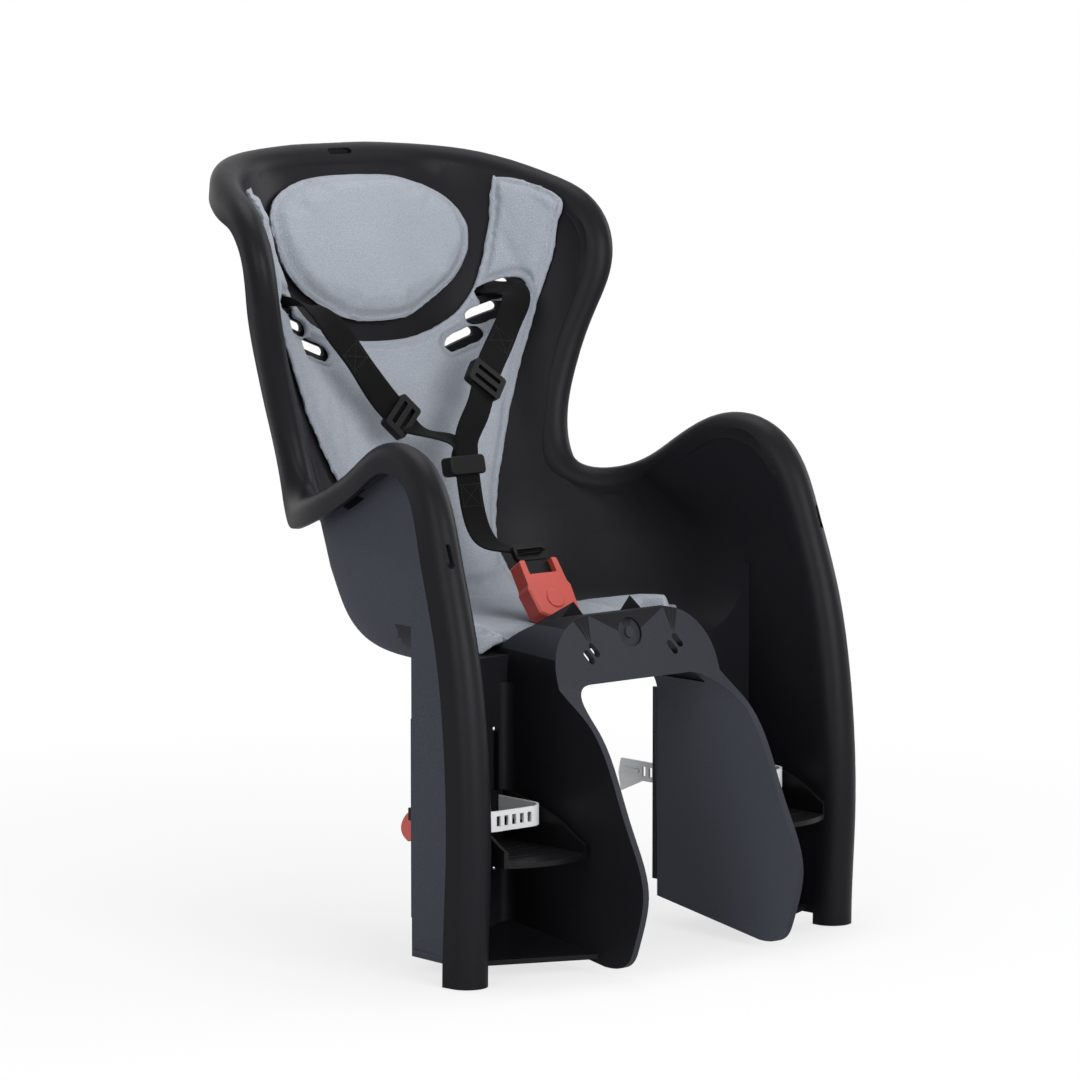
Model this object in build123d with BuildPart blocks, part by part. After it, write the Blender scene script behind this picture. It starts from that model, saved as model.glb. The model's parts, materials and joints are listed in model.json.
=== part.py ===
from build123d import *
import math
import os

os.makedirs("parts", exist_ok=True)

# Child bike seat. Millimetres, +Z up, the seat faces -Y, the mirror plane is x = 0,
# z = 0 is the lowest point of the leg guards and y = 0 is the front of the bridge.

# Driving sizes of the moulded shell
wall = 4.0
rim_wall = 4.6
rim_radius = 14.0
rim_turn = 172.0
rim_lip = 11.0
rim_root = 6.0
recline = 19.3
seat_level = 300.0
seat_back = 255.0
seat_half = 179.0
seat_corner = 150.0
front_half = 187.0
front_reach = -90.0
waist_level = 392.0
waist_half = 155.0
waist_corner = 100.0
slot_level = 470.0
slot_half = 165.0
slot_corner = 115.0
wing_level = 545.0
wing_half = 176.0
wing_corner = 130.0
crown_level = 650.0
crown_half = 178.0
crown_corner = 132.0
arm_front_half = 194.0
top_edge = 611.0
pan_level = 234.0
pan_half = 135.0
pan_corner = 112.0
pan_back = 208.0
pan_front_half = 150.0
ease_rise = 18.0
guide_lead = 30.0

# Belly sections above the pan: rise, half width, corner, front half width and back
belly_lower = (12.0, 157.0, 132.0, 165.0, 230.0)
belly_upper = (36.0, 172.0, 146.0, 180.0, 245.0)

# Leg guards
channel_back = 57.0
back_wall = 5.0
fin_inner = 80.0
fin_outer = 86.0
guard_low = 8.0
guard_heel = 24.0
guard_toe = 130.0
guard_outer = 181.0
guard_top = 290.0
floor_low = 10.0
floor_wall = 4.0
floor_inner = 83.0
floor_outer = 182.0
floor_rear = 55.0
floor_front_outer = -13.0
floor_front_inner = -57.0
cove_radius = 9.0
rail_depth = 8.0
rail_wall = 3.0
rail_inner = 82.0
rail_outer = 175.0
rail_low = 37.0
rail_high = 195.0

# Bridge between the leg guards
bridge_top = 270.0
bridge_round = 46.0
arch_top = 217.0
arch_round = 28.0
bridge_wall = 5.0
bridge_head = 8.0
bridge_foot = -10.0
bridge_rear = 70.0
bridge_slot_x = 44.5
bridge_slot_z = 241.0
dimple_z = 254.0
dimple_radius = 12.0
dimple_boss = 4.5
dimple_deep = 2.2
horn_x = 30.0
horn_top = 277.5
horn_front = 36.0
horn_back = 60.0
horn_inner = 12.0
horn_outer = 52.0
horn_tail_x = 68.0
horn_tail_top = 252.0
horn_sink = 20.0

# Small slots in the rolled rim
notch_x = 197.0
notch_z = 332.0
notch_length = 18.0
notch_width = 3.0
notch_drop = 7.0
notch_hole = 2.6
carry_z = 621.0
carry_length = 25.0
carry_width = 5.0

# Strap slots through the back, lowest, middle and highest
slot_length = 31.0
slot_width = 7.5
slot_tilt = 20.0
slot_spots = ((79.0, 465.0), (101.0, 486.0), (113.0, 505.0))

# Soft pads
pad_gap = 0.4
pad_thick = 10.0
headrest_thick = 13.0
roll_inner = 52.0
roll_outer = 116.0
roll_front = 58.0
roll_front_top = 270.0
roll_back = 200.0
roll_back_top = 255.0
pad_slot_length = 36.0
pad_slot_width = 11.0
bolt_head_radius = 8.0
bolt_head_high = 7.0

# Webbing
webbing_width = 25.0
webbing_thick = 1.6
webbing_play = 0.3
adjuster_width = 34.0
adjuster_length = 22.0
adjuster_high = 8.0
adjuster_bars = 9.0
joiner_width = 37.0
joiner_length = 16.0
joiner_thick = 13.0
joiner_wall = 2.0
stitch_depth = 11.0
stitch_high = 4.0
stitch_gap = 0.2

# Footrests and their straps
rest_level = 90.0
rest_floor = 4.0
rest_wall = 3.0
rest_inner = 92.0
rest_outer = 172.0
rest_front = -57.0
rest_back = 50.0
rest_high = 42.0
neck_x = 135.0
neck_width = 12.0
neck_gap = 1.0
neck_low = 96.0
neck_high = 122.0
slider_gap = 0.6
slider_thick = 5.0
slider_low = 84.0
slider_high = 178.0
rest_down = 40.0
rest_up = 50.0
foot_strap_x = 98.0
foot_strap_low = 112.0
foot_strap_width = 16.0
foot_strap_thick = 2.0
foot_strap_bend = 16.0
foot_strap_front = -8.0
foot_strap_end = 166.0
strap_slot_gap = 2.0
hole_length = 4.0
hole_height = 8.0
hole_pitch = 8.0
rivet_y = 22.0
screw_radius = 2.0
screw_head_radius = 4.0
screw_spread = 7.0
screw_length = 14.0
screw_head_high = 2.4
rivet_head_high = 1.2
pivot_radius = 1.5
running_gap = 0.05
hole_gap = 0.1
latch_gap = 0.4
ear_thick = 3.0
ear_size = 10.0
latch_left = 153.0
latch_right = 168.0
latch_low = 95.0
latch_pivot_z = 118.0
latch_pivot_out = 5.0
latch_round = 4.4
latch_reach = 23.0
catch_width = 15.0
catch_depth = 18.0
catch_low = 118.0
catch_high = 140.0
catch_strap_gap = 1.6
catch_pivot_in = 11.0
catch_pivot_out = 4.5
strap_tail = 96.0
fan_end = 120.0
ridge_high = 0.8

# Mounting holes in the pan
mount_hole_radius = 3.3
mount_spacing_x = 90.0
mount_spacing_y = 56.0
mount_y = 140.0
plate_length = 124.0
plate_depth = 80.0
plate_thick = 3.0
plate_screw_radius = 2.5
plate_screw_head = 4.6
plate_screw_length = 6.8
plate_screw_gap = 0.1
crotch_y = 87.0
crotch_slot_length = 30.0
crotch_slot_width = 6.0

# Buckle, standing on the pan at the end of the lower strap
buckle_y = 104.0
buckle_z = 277.0
buckle_lean = 34.3
buckle_width = 46.0
buckle_neck = 42.0
buckle_length = 52.0
buckle_thick = 15.0
buckle_corner = 2.5
buckle_edge = 1.5
buckle_step = 1.2
mouth_deep = 13.0
button_radius = 8.5
button_y = -11.0
button_high = 1.4
button_deep = 4.0
button_travel = 2.5
tongue_width = 28.0
tongue_thick = 2.6
tongue_frame_half = 2.2

lean = math.tan(math.radians(recline))


def tub_section(level, half, corner, front, back, inset):
    """Plan outline of the seat body at one height, drawn in by inset."""
    side = half - inset
    bend = corner - inset
    rear = back - inset
    flat = side - bend
    with BuildSketch(Plane.XY.offset(level)) as section:
        with BuildLine():
            Polyline(
                (-side, rear - bend),
                (inset - front, front_reach),
                (front - inset, front_reach),
                (side, rear - bend),
            )
            RadiusArc((side, rear - bend), (flat, rear), -bend)
            Line((flat, rear), (-flat, rear))
            RadiusArc((-flat, rear), (-side, rear - bend), -bend)
        make_face()
    return section.sketch


def reclined(level):
    """Back of the seat body at one height, along the reclined back line."""
    return seat_back + lean * (level - seat_level)


def tub_body(inset):
    """Seat body from the seat level up, drawn in by inset."""
    ease = seat_level + ease_rise
    with BuildPart() as body:
        add(tub_section(seat_level, seat_half, seat_corner, front_half, seat_back, inset))
        add(tub_section(ease, seat_half - 1.0, seat_corner - 2.0, front_half, reclined(ease), inset))
        add(tub_section(waist_level, waist_half, waist_corner, arm_front_half, reclined(waist_level), inset))
        add(tub_section(slot_level, slot_half, slot_corner, arm_front_half, reclined(slot_level), inset))
        add(tub_section(wing_level, wing_half, wing_corner, arm_front_half, reclined(wing_level), inset))
        add(tub_section(crown_level, crown_half, crown_corner, arm_front_half, reclined(crown_level), inset))
        loft()
    return body.part


def leg_body(inset):
    """Straight continuation of the seat body down to the floor."""
    with BuildPart() as body:
        add(tub_section(seat_level, seat_half, seat_corner, front_half, seat_back, inset))
        extrude(amount=-seat_level - 1)
    return body.part


def belly_body(inset):
    """Rounded lower part of the seat body, from the pan up to the seat level."""
    with BuildPart() as body:
        add(tub_section(pan_level + inset, pan_half, pan_corner, pan_front_half, pan_back, inset))
        for (rise, half, corner, front, back), share in ((belly_lower, 0.8), (belly_upper, 0.4)):
            add(tub_section(pan_level + rise + share * inset, half, corner, front, back, inset))
        add(tub_section(seat_level, seat_half, seat_corner, front_half, seat_back, inset))
        loft()
    return body.part


# Side view of the rim, from the foot of the leg guard over the arm and the waist to the headrest
with BuildSketch(Plane.YZ) as side_view:
    with BuildLine():
        rim_line = Spline(
            (-28, -1), (-31, 147), (-14, 269), (5, 329), (25, 374), (52, 400), (93, 388), (150, 360),
            (200, 341), (238, 355), (251, 396), (252, 470), (242, 530), (247, 558), (270, 575), (303, 591),
            (335, 604), (368, top_edge),
        )
        Polyline((368, top_edge), (460, top_edge), (460, -1), (-28, -1))
    make_face()

# Walls of the seat body, trimmed to the side view
with BuildPart() as walls:
    add(tub_body(0))
    add(leg_body(0))
    add(tub_body(wall), mode=Mode.SUBTRACT)
    add(leg_body(wall), mode=Mode.SUBTRACT)
    extrude(side_view.sketch, amount=260, both=True, mode=Mode.INTERSECT)
    with Locations((0, channel_back, -10)):
        Box(600, 500, seat_level + 10, align=(Align.CENTER, Align.MIN, Align.MIN), mode=Mode.SUBTRACT)
    with Locations((0, rim_root - 28, -10)):
        Box(600, 500, guard_low + 10, align=(Align.CENTER, Align.MIN, Align.MIN), mode=Mode.SUBTRACT)

with BuildPart() as belly:
    add(belly_body(0))
    add(belly_body(wall), mode=Mode.SUBTRACT)
    with Locations((0, channel_back, 200)):
        Box(600, 500, 100, align=(Align.CENTER, Align.MIN, Align.MIN), mode=Mode.INTERSECT)

# Rolled rim: a hooked strip swept along the trimmed edge, steered by the wall's outward normal
middle = tub_body(wall / 2) + leg_body(wall / 2)
rim_points = []
rim_normals = []


def probe(start, direction):
    """Outermost wall point along a ray, with its level outward normal."""
    hits = middle.find_intersection_points(Axis(start, direction))
    hits = sorted(hits, key=lambda hit: (hit[0] - Vector(*start)).dot(Vector(*direction)))
    point, normal = hits[-1]
    rim_points.append(point)
    rim_normals.append(Vector(normal.X, normal.Y, 0).normalized())


for share in (0, 0.1, 0.2, 0.28, 0.35, 0.41, 0.46, 0.52, 0.58, 0.635, 0.69, 0.74, 0.79, 0.84, 0.875, 0.905):
    spot = rim_line @ share
    probe((0, spot.X, spot.Y), (1, 0, 0))
for across, drop in ((125, 10), (85, 3.5), (45, 0.5)):
    probe((across, 0, top_edge - drop), (0, 1, 0))
rim_points.append(Vector(0, reclined(top_edge) - wall / 2, top_edge))
rim_normals.append(Vector(0, 1, 0))
rim_path = Spline(rim_points, tangents=[(0, 0, 1), (-1, 0, 0)])
guide_points = [point + normal * guide_lead for point, normal in zip(rim_points, rim_normals)]
rim_guide = Spline(guide_points, tangents=[(0, 0, 1), (-1, 0, 0)])
rim_along = rim_path % 0
rim_out = rim_normals[0]

with BuildPart() as rim:
    with BuildSketch(Plane(origin=rim_points[0], x_dir=rim_out.cross(rim_along), z_dir=rim_along)):
        with BuildLine():
            roll_out = CenterArc((0, rim_radius), rim_radius + rim_wall / 2, -90, rim_turn)
            roll_in = CenterArc((0, rim_radius), rim_radius - rim_wall / 2, -90, rim_turn)
            Polyline(roll_out @ 0, (-rim_root, -rim_wall / 2), (-rim_root, rim_wall / 2), roll_in @ 0)
            lip_out = (roll_out @ 1) + (roll_out % 1) * rim_lip
            lip_in = (roll_in @ 1) + (roll_in % 1) * rim_lip
            Polyline(roll_out @ 1, lip_out, lip_in, roll_in @ 1)
        make_face()
    sweep(path=rim_path, binormal=rim_guide)

# Saddle bridge and the two inner fins: front view crossed with side view, then hollowed
with BuildSketch(Plane.XZ) as arch:
    with Locations((0, arch_top / 2)):
        Rectangle(2 * fin_inner, arch_top + 2)
    fillet(arch.vertices().group_by(Axis.Y)[-1], arch_round)

with BuildSketch(Plane.XZ) as bridge_front:
    with Locations((0, bridge_top / 2)):
        Rectangle(2 * fin_outer, bridge_top)
    fillet(bridge_front.vertices().group_by(Axis.Y)[-1], bridge_round)
    add(arch.sketch, mode=Mode.SUBTRACT)

face_high = bridge_top + 1
face_rise = face_high - arch_top
face_run = bridge_head - bridge_foot
dimple_y = bridge_head - face_run * (face_high - dimple_z) / face_rise
with BuildSketch(Plane.YZ) as bridge_side:
    with BuildLine():
        Line((bridge_head, face_high), (bridge_foot, arch_top))
        Spline(
            (bridge_foot, arch_top), (-46, 192), (-88, 118), (-108, 66), (-98, 26), (-64, 5),
            tangents=[(-0.8, -0.6), (1, 0.05)],
        )
        Polyline(
            (-64, 5), (channel_back, guard_heel), (channel_back, pan_level), (bridge_rear, pan_level),
            (bridge_rear, pan_level + wall),
        )
        Spline(
            (bridge_rear, pan_level + wall), (48, 258), (bridge_head, face_high),
            tangents=[(-0.6, 0.8), (-1, 0.1)],
        )
    make_face()

with BuildSketch(Plane.XZ) as pocket_front:
    with Locations((0, (bridge_top - bridge_wall) / 2)):
        Rectangle(2 * fin_inner, bridge_top - bridge_wall)
    fillet(pocket_front.vertices().group_by(Axis.Y)[-1], bridge_round - bridge_wall)

with BuildSketch(Plane.YZ) as pocket_side:
    with BuildLine():
        Polyline(
            (bridge_head + bridge_wall, bridge_top - bridge_wall), (bridge_foot + 4, arch_top - 10),
            (bridge_rear, arch_top - 10), (bridge_rear, pan_level - wall),
        )
        Spline(
            (bridge_rear, pan_level - wall), (46, 252), (bridge_head + bridge_wall, bridge_top - bridge_wall),
        )
    make_face()

with BuildPart() as pocket:
    extrude(pocket_front.sketch, amount=130, both=True)
    extrude(pocket_side.sketch, amount=130, both=True, mode=Mode.INTERSECT)

with BuildPart() as bridge:
    extrude(bridge_front.sketch, amount=130, both=True)
    extrude(bridge_side.sketch, amount=130, both=True, mode=Mode.INTERSECT)
    # two horns on the back edge of the bridge, with the buckle's place between them
    for turn in (-1, 1):
        with BuildSketch(Plane.XZ.offset(-horn_front)):
            with BuildLine():
                Polyline(
                    (turn * horn_inner, horn_top - horn_sink), (turn * horn_x, horn_top),
                    (turn * horn_outer, horn_top - horn_sink), close=True,
                )
            make_face()
        with BuildSketch(Plane.XZ.offset(-horn_back)):
            with BuildLine():
                Polyline(
                    (turn * horn_inner, horn_tail_top - horn_sink), (turn * horn_tail_x, horn_tail_top),
                    (turn * (horn_tail_x + horn_inner), horn_tail_top - horn_sink), close=True,
                )
            make_face()
        loft()
    add(pocket.part, mode=Mode.SUBTRACT)
    for turn in (-1, 1):
        with BuildSketch(Plane.XZ.offset(60)):
            with Locations((turn * bridge_slot_x, bridge_slot_z)):
                with Locations(Location((0, 0, 0), (0, 0, 35))):
                    with GridLocations(8.5, 0, 2, 1):
                        SlotOverall(13, 5.5, rotation=90)
        extrude(amount=-70, mode=Mode.SUBTRACT)
    # ring-shaped dimple square to the sloping front
    with BuildSketch(Plane(origin=(0, dimple_y, dimple_z), x_dir=(1, 0, 0), z_dir=(0, -face_rise, face_run))):
        Circle(dimple_radius)
        Circle(dimple_boss, mode=Mode.SUBTRACT)
    extrude(amount=-dimple_deep, mode=Mode.SUBTRACT)

# Leg guard back walls with their slots, rails and floors
neck_slot_low = neck_low - rest_down - 4
neck_slot_high = neck_high + rest_up + 4
strap_slot_low = foot_strap_low - rest_down - 4
strap_slot_high = foot_strap_low + foot_strap_width + rest_up + 4
with BuildPart() as guard:
    with BuildSketch(Plane.XZ.offset(-channel_back)):
        with BuildLine():
            Polyline(
                (fin_inner, guard_heel), (fin_inner, guard_top), (guard_outer, guard_top),
                (guard_outer, guard_low), (guard_toe, guard_low), close=True,
            )
        make_face()
    extrude(amount=back_wall)
    # rounded corner between the fin and the back wall
    with BuildSketch(Plane.XY.offset(guard_heel)):
        with BuildLine():
            wall_front = channel_back - back_wall
            cove = CenterArc((fin_outer + cove_radius, wall_front - cove_radius), cove_radius, 90, 90)
            Polyline(
                cove @ 1, (fin_outer - 1, wall_front - cove_radius), (fin_outer - 1, wall_front + 1),
                (fin_outer + cove_radius, wall_front + 1), cove @ 0,
            )
        make_face()
    extrude(amount=arch_top - guard_heel)
    for middle_x, slot_span, low, high in (
        (neck_x, neck_width + 2 * neck_gap, neck_slot_low, neck_slot_high),
        (foot_strap_x, foot_strap_thick + 2 * strap_slot_gap, strap_slot_low, strap_slot_high),
    ):
        with Locations((middle_x, channel_back, (low + high) / 2)):
            Box(slot_span, 40, high - low, mode=Mode.SUBTRACT)
    for place in (rail_inner, rail_outer - rail_wall):
        with Locations((place, channel_back, rail_low)):
            Box(rail_wall, rail_depth, rail_high - rail_low, align=(Align.MIN, Align.MIN, Align.MIN))
    with BuildSketch(Plane.XY.offset(floor_low)):
        with BuildLine():
            Polyline(
                (guard_toe, floor_rear), (floor_outer, floor_rear), (floor_outer + 1, floor_front_outer),
                (floor_inner, floor_front_inner), close=True,
            )
        make_face()
    extrude(amount=floor_wall)
    # the floor rises to the heel's inner corner
    ramp_low = Vector(guard_toe, floor_rear, floor_low)
    ramp_front = Vector(floor_inner, floor_front_inner, floor_low)
    ramp_high = Vector(floor_inner, floor_rear, guard_heel)
    ramp_up = (ramp_high - ramp_low).cross(ramp_front - ramp_low)
    ramp_plane = Plane(origin=ramp_low, x_dir=ramp_front - ramp_low, z_dir=ramp_up)
    with BuildSketch(ramp_plane):
        with BuildLine():
            Polyline(
                *[ramp_plane.to_local_coords(point) for point in (ramp_low, ramp_front, ramp_high)], close=True
            )
        make_face()
    extrude(amount=floor_wall)
    add(belly_body(wall), mode=Mode.SUBTRACT)

with BuildPart() as seat_shell:
    add(walls.part)
    add(belly.part)
    add(bridge.part)
    add(guard.part)
    mirror(guard.part, about=Plane.YZ)
    add(rim.part)
    mirror(rim.part, about=Plane.YZ)
    # strap slots through the back
    for turn in (-1, 1):
        for spot_x, spot_z in slot_spots:
            with BuildSketch(Plane.XZ.offset(-200)):
                with Locations((turn * spot_x, spot_z)):
                    SlotOverall(slot_length, slot_width, rotation=turn * slot_tilt)
            extrude(amount=-200, mode=Mode.SUBTRACT)
    # keyhole notches on the front of the rolled rim
    for turn in (-1, 1):
        with BuildSketch(Plane.XZ.offset(40)):
            with Locations((turn * notch_x, notch_z)):
                SlotOverall(notch_length, notch_width, rotation=90)
            with Locations((turn * (notch_x + 1), notch_z - notch_drop)):
                Circle(notch_hole)
        extrude(amount=-45, mode=Mode.SUBTRACT)
    # carrying slot in the front of the headrest rim
    with BuildSketch(Plane.XZ.offset(-340)):
        with Locations((0, carry_z)):
            SlotOverall(carry_length, carry_width)
    extrude(amount=-36, mode=Mode.SUBTRACT)
    # mounting holes and crotch strap slot in the pan
    with Locations((0, mount_y, pan_level)):
        with GridLocations(mount_spacing_x, mount_spacing_y, 2, 2):
            Cylinder(mount_hole_radius, 40, mode=Mode.SUBTRACT)
        with GridLocations(0, mount_spacing_y, 1, 2):
            Cylinder(plate_screw_radius + plate_screw_gap, 40, mode=Mode.SUBTRACT)
            with Locations((0, 0, wall)):
                Cone(
                    0, plate_screw_head + plate_screw_gap, plate_screw_head + plate_screw_gap,
                    align=(Align.CENTER, Align.CENTER, Align.MAX), mode=Mode.SUBTRACT,
                )
    with Locations((0, crotch_y, pan_level)):
        Box(crotch_slot_length, crotch_slot_width, 20, mode=Mode.SUBTRACT)
seat_shell.part.label = "seat_shell"

# Back and seat pad: a layer on the inside of the seat body, cut to its outlines
with BuildSketch(Plane.XZ) as pad_front:
    with BuildLine():
        Line((0, seat_level - 2), (66, seat_level - 2))
        outer_edge = Spline((66, seat_level - 2), (84, 358), (116, 420), (148, 490), (156, 545), (154, 580))
        Spline(outer_edge @ 1, (146, 594), (126, 600), tangents=[outer_edge % 1, (-1, 0.1)])
        Spline(
            (126, 600), (117, 560), (102, 520), (78, 487), (40, 472), (0, 468),
            tangents=[(-0.1, -1), (-1, 0)],
        )
        mirror(about=Plane.YZ)
    make_face()

with BuildSketch(Plane.XY) as pad_plan:
    with BuildLine():
        Line((0, 300), (66, 300))
        Line((66, 300), (66, 232))
        pad_side = Spline((66, 232), (88, 190), (117, 120), (120, 84))
        Spline(pad_side @ 1, (112, 66), (96, 62), tangents=[pad_side % 1, (-1, 0)])
        Spline((96, 62), (80, 72), (0, 76), tangents=[(-1, 0), (-1, 0)])
        mirror(about=Plane.YZ)
    make_face()

# Foam under the outside of each thigh, highest at the front corner of the pad
with BuildPart() as thigh_rolls:
    for turn in (-1, 1):
        for roll_y, roll_top in ((roll_front, roll_front_top), (roll_back, roll_back_top)):
            with BuildSketch(Plane.XZ.offset(-roll_y)):
                with BuildLine():
                    Polyline(
                        (turn * roll_inner, pan_level), (turn * roll_inner, pan_level + wall + pad_thick),
                        (turn * roll_outer, roll_top), (turn * (roll_outer + pad_thick), roll_top),
                        (turn * (roll_outer + pad_thick), pan_level), close=True,
                    )
                make_face()
        loft()
    add(belly_body(wall + pad_gap), mode=Mode.INTERSECT)

with BuildPart() as seat_layer:
    add(belly_body(wall + pad_gap))
    add(belly_body(wall + pad_gap + pad_thick), mode=Mode.SUBTRACT)
    add(thigh_rolls.part)
    extrude(pad_plan.sketch, amount=seat_level, mode=Mode.INTERSECT)

with BuildPart() as back_pad:
    add(tub_body(wall + pad_gap))
    add(tub_body(wall + pad_gap + pad_thick), mode=Mode.SUBTRACT)
    extrude(pad_front.sketch, amount=-420, mode=Mode.INTERSECT)
    with Locations((0, 0, seat_level)):
        Box(500, 1000, 400, align=(Align.CENTER, Align.CENTER, Align.MIN), mode=Mode.INTERSECT)
    add(seat_layer.part)
    for turn in (-1, 1):
        for spot_x, spot_z in slot_spots:
            with BuildSketch(Plane.XZ.offset(-200)):
                with Locations((turn * spot_x, spot_z)):
                    SlotOverall(pad_slot_length, pad_slot_width, rotation=turn * slot_tilt)
            extrude(amount=-200, mode=Mode.SUBTRACT)
    # room under the pad for the heads of the mounting bolts
    with Locations((0, mount_y, pan_level)):
        with GridLocations(mount_spacing_x, mount_spacing_y, 2, 2):
            Cylinder(bolt_head_radius, 2 * (wall + bolt_head_high), mode=Mode.SUBTRACT)
    with Locations((0, crotch_y, pan_level)):
        Box(crotch_slot_length, crotch_slot_width, 60, mode=Mode.SUBTRACT)
back_pad.part.label = "back_pad"

# Egg-shaped headrest pad
with BuildSketch(Plane.XZ) as egg:
    with BuildLine():
        Spline(
            (0, 606), (62, 600), (97, 578), (101, 552), (78, 512), (40, 490), (0, 484),
            tangents=[(1, 0), (-1, 0)],
        )
        mirror(about=Plane.YZ)
    make_face()

with BuildPart() as headrest_pad:
    add(tub_body(wall + pad_gap))
    add(tub_body(wall + pad_gap + headrest_thick), mode=Mode.SUBTRACT)
    extrude(egg.sketch, amount=-420, mode=Mode.INTERSECT)
headrest_pad.part.label = "headrest_pad"


def ribbon(centres, facings, width, thick):
    """Flat strap through the given centres, its broad face turned to the given directions."""
    with BuildPart() as strap:
        for index, centre in enumerate(centres):
            before = Vector(*centres[max(index - 1, 0)])
            after = Vector(*centres[min(index + 1, len(centres) - 1)])
            along = (after - before).normalized()
            facing = Vector(*facings[index])
            across = facing.cross(along).normalized()
            with BuildSketch(Plane(origin=centre, x_dir=across, z_dir=along)):
                Rectangle(width, thick)
        loft()
    return strap.part


def strap_frame(centre, along, facing):
    """Plane with x across the strap, y along it and z out of its broad face."""
    run = Vector(*along).normalized()
    across = run.cross(Vector(*facing)).normalized()
    return Plane(origin=centre, x_dir=across, z_dir=across.cross(run))


def sleeve(plane):
    """Three-bar strap adjuster: a flat rounded frame that the webbing threads through."""
    with BuildPart(plane) as frame:
        with BuildSketch(plane):
            RectangleRounded(adjuster_width, adjuster_length, 3)
        extrude(amount=adjuster_high / 2, both=True)
        with Locations((0, 0, adjuster_high / 2)):
            with GridLocations(0, adjuster_bars, 1, 2):
                Box(webbing_width - 1, adjuster_bars - 5, adjuster_high, mode=Mode.SUBTRACT)
    return frame.part


def clearance(route, facing):
    """The space a strap needs: the same ribbon, widened by the webbing's play."""
    return ribbon(route, facing, webbing_width + 2 * webbing_play, webbing_thick + 2 * webbing_play)


# Harness routes: where the webbing runs and which way its broad face looks
right_route = (
    (113, 313.5, 505), (113, 296, 505), (113, 275, 505), (108.5, 264, 500), (98, 256, 489), (78, 246.5, 468),
    (44, 229, 436), (26, 218, 412), (9, 211.8, 390), (6, 207.3, 373),
)
right_facing = (
    (-0.34, 0, 0.94), (-0.34, 0, 0.94), (-0.34, 0, 0.94), (-0.15, -0.5, 0.85), (0.15, -0.75, 0.6),
    (0.2, -0.8, 0.55), (0.2, -0.8, 0.55), (0.2, -0.85, 0.45), (0.05, -0.95, 0.25), (0, -0.97, 0.22),
)
left_route = (
    (-113, 313.5, 505), (-113, 296, 505), (-113, 275, 505), (-108, 265, 500), (-98, 258.5, 489),
    (-74, 250.5, 457), (-39.5, 237.5, 410), (-17, 224, 395), (1, 214.5, 387), (4, 210.5, 374),
)
left_facing = (
    (0.34, 0, 0.94), (0.34, 0, 0.94), (0.34, 0, 0.94), (0.15, -0.5, 0.85), (-0.15, -0.75, 0.6),
    (-0.2, -0.8, 0.55), (-0.2, -0.78, 0.52), (0.35, -0.38, 0.85), (0.2, -0.65, 0.72), (0, -0.9, 0.35),
)
back_route = (
    (115, 312.5, 506), (97, 320.5, 504), (78, 326.5, 503.5), (45, 329.4, 503), (0, 330, 503),
    (-45, 329.4, 503), (-78, 326.5, 503.5), (-97, 320.5, 504), (-115, 312.5, 506),
)
back_facing = (
    (0.56, 0.74, -0.3), (0.45, 0.83, -0.33), (0.24, 0.91, -0.34), (0.05, 0.94, -0.34), (0, 0.94, -0.34),
    (-0.05, 0.94, -0.34), (-0.24, 0.91, -0.34), (-0.45, 0.83, -0.33), (-0.56, 0.74, -0.3),
)
lower_route = (
    (4, 205, 366), (4, 201, 346), (3, 193, 325), (1, 179, 311), (0, 160, 306), (0, 140, 306),
    (0, 124.5, 306.8), (0, 118, 308),
)
lower_facing = (
    (0, -0.97, 0.2), (0, -0.95, 0.3), (0, -0.85, 0.5), (0, -0.5, 0.85), (0, -0.05, 1), (0, 0.05, 1),
    (0, 0.1, 1), (0, 0.15, 1),
)

with BuildPart() as shoulder_strap:
    add(ribbon(right_route, right_facing, webbing_width, webbing_thick))
    add(ribbon(left_route, left_facing, webbing_width, webbing_thick))
    add(ribbon(back_route, back_facing, webbing_width, webbing_thick))
shoulder_strap.part.label = "shoulder_strap"

with BuildPart() as lower_strap:
    add(ribbon(lower_route, lower_facing, webbing_width, webbing_thick))
lower_strap.part.label = "lower_strap"

# One adjuster on each shoulder strap
right_frame = strap_frame((44, 229, 436), (-0.66, -0.3, -0.69), (0.2, -0.8, 0.55))
with BuildPart() as right_adjuster:
    add(sleeve(right_frame))
    add(clearance(right_route, right_facing), mode=Mode.SUBTRACT)
right_adjuster.part.label = "right_adjuster"

left_frame = strap_frame((-39.5, 237.5, 410), (0.65, -0.27, -0.71), (-0.2, -0.78, 0.52))
with BuildPart() as left_adjuster:
    add(sleeve(left_frame))
    add(clearance(left_route, left_facing), mode=Mode.SUBTRACT)
left_adjuster.part.label = "left_adjuster"

# Joiner where both shoulder straps meet the lower strap, with one wide slot for all three
joiner_plane = Plane(origin=(4, 206, 370), x_dir=(1, 0, 0), z_dir=(0, -0.97, 0.22))
joiner_front = webbing_thick / 2 + webbing_play + joiner_wall
with BuildPart(joiner_plane) as strap_joiner:
    with BuildSketch(joiner_plane.offset(joiner_front)):
        RectangleRounded(joiner_width, joiner_length, 4)
    extrude(amount=-joiner_thick)
    chamfer(strap_joiner.faces().sort_by(Axis.Y)[0].edges(), 1)
    with Locations((0, 0, joiner_front - joiner_wall)):
        Box(
            joiner_width - 2 * joiner_wall, joiner_length + 10, joiner_thick - 2 * joiner_wall,
            align=(Align.CENTER, Align.CENTER, Align.MAX), mode=Mode.SUBTRACT,
        )
strap_joiner.part.label = "strap_joiner"

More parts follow.
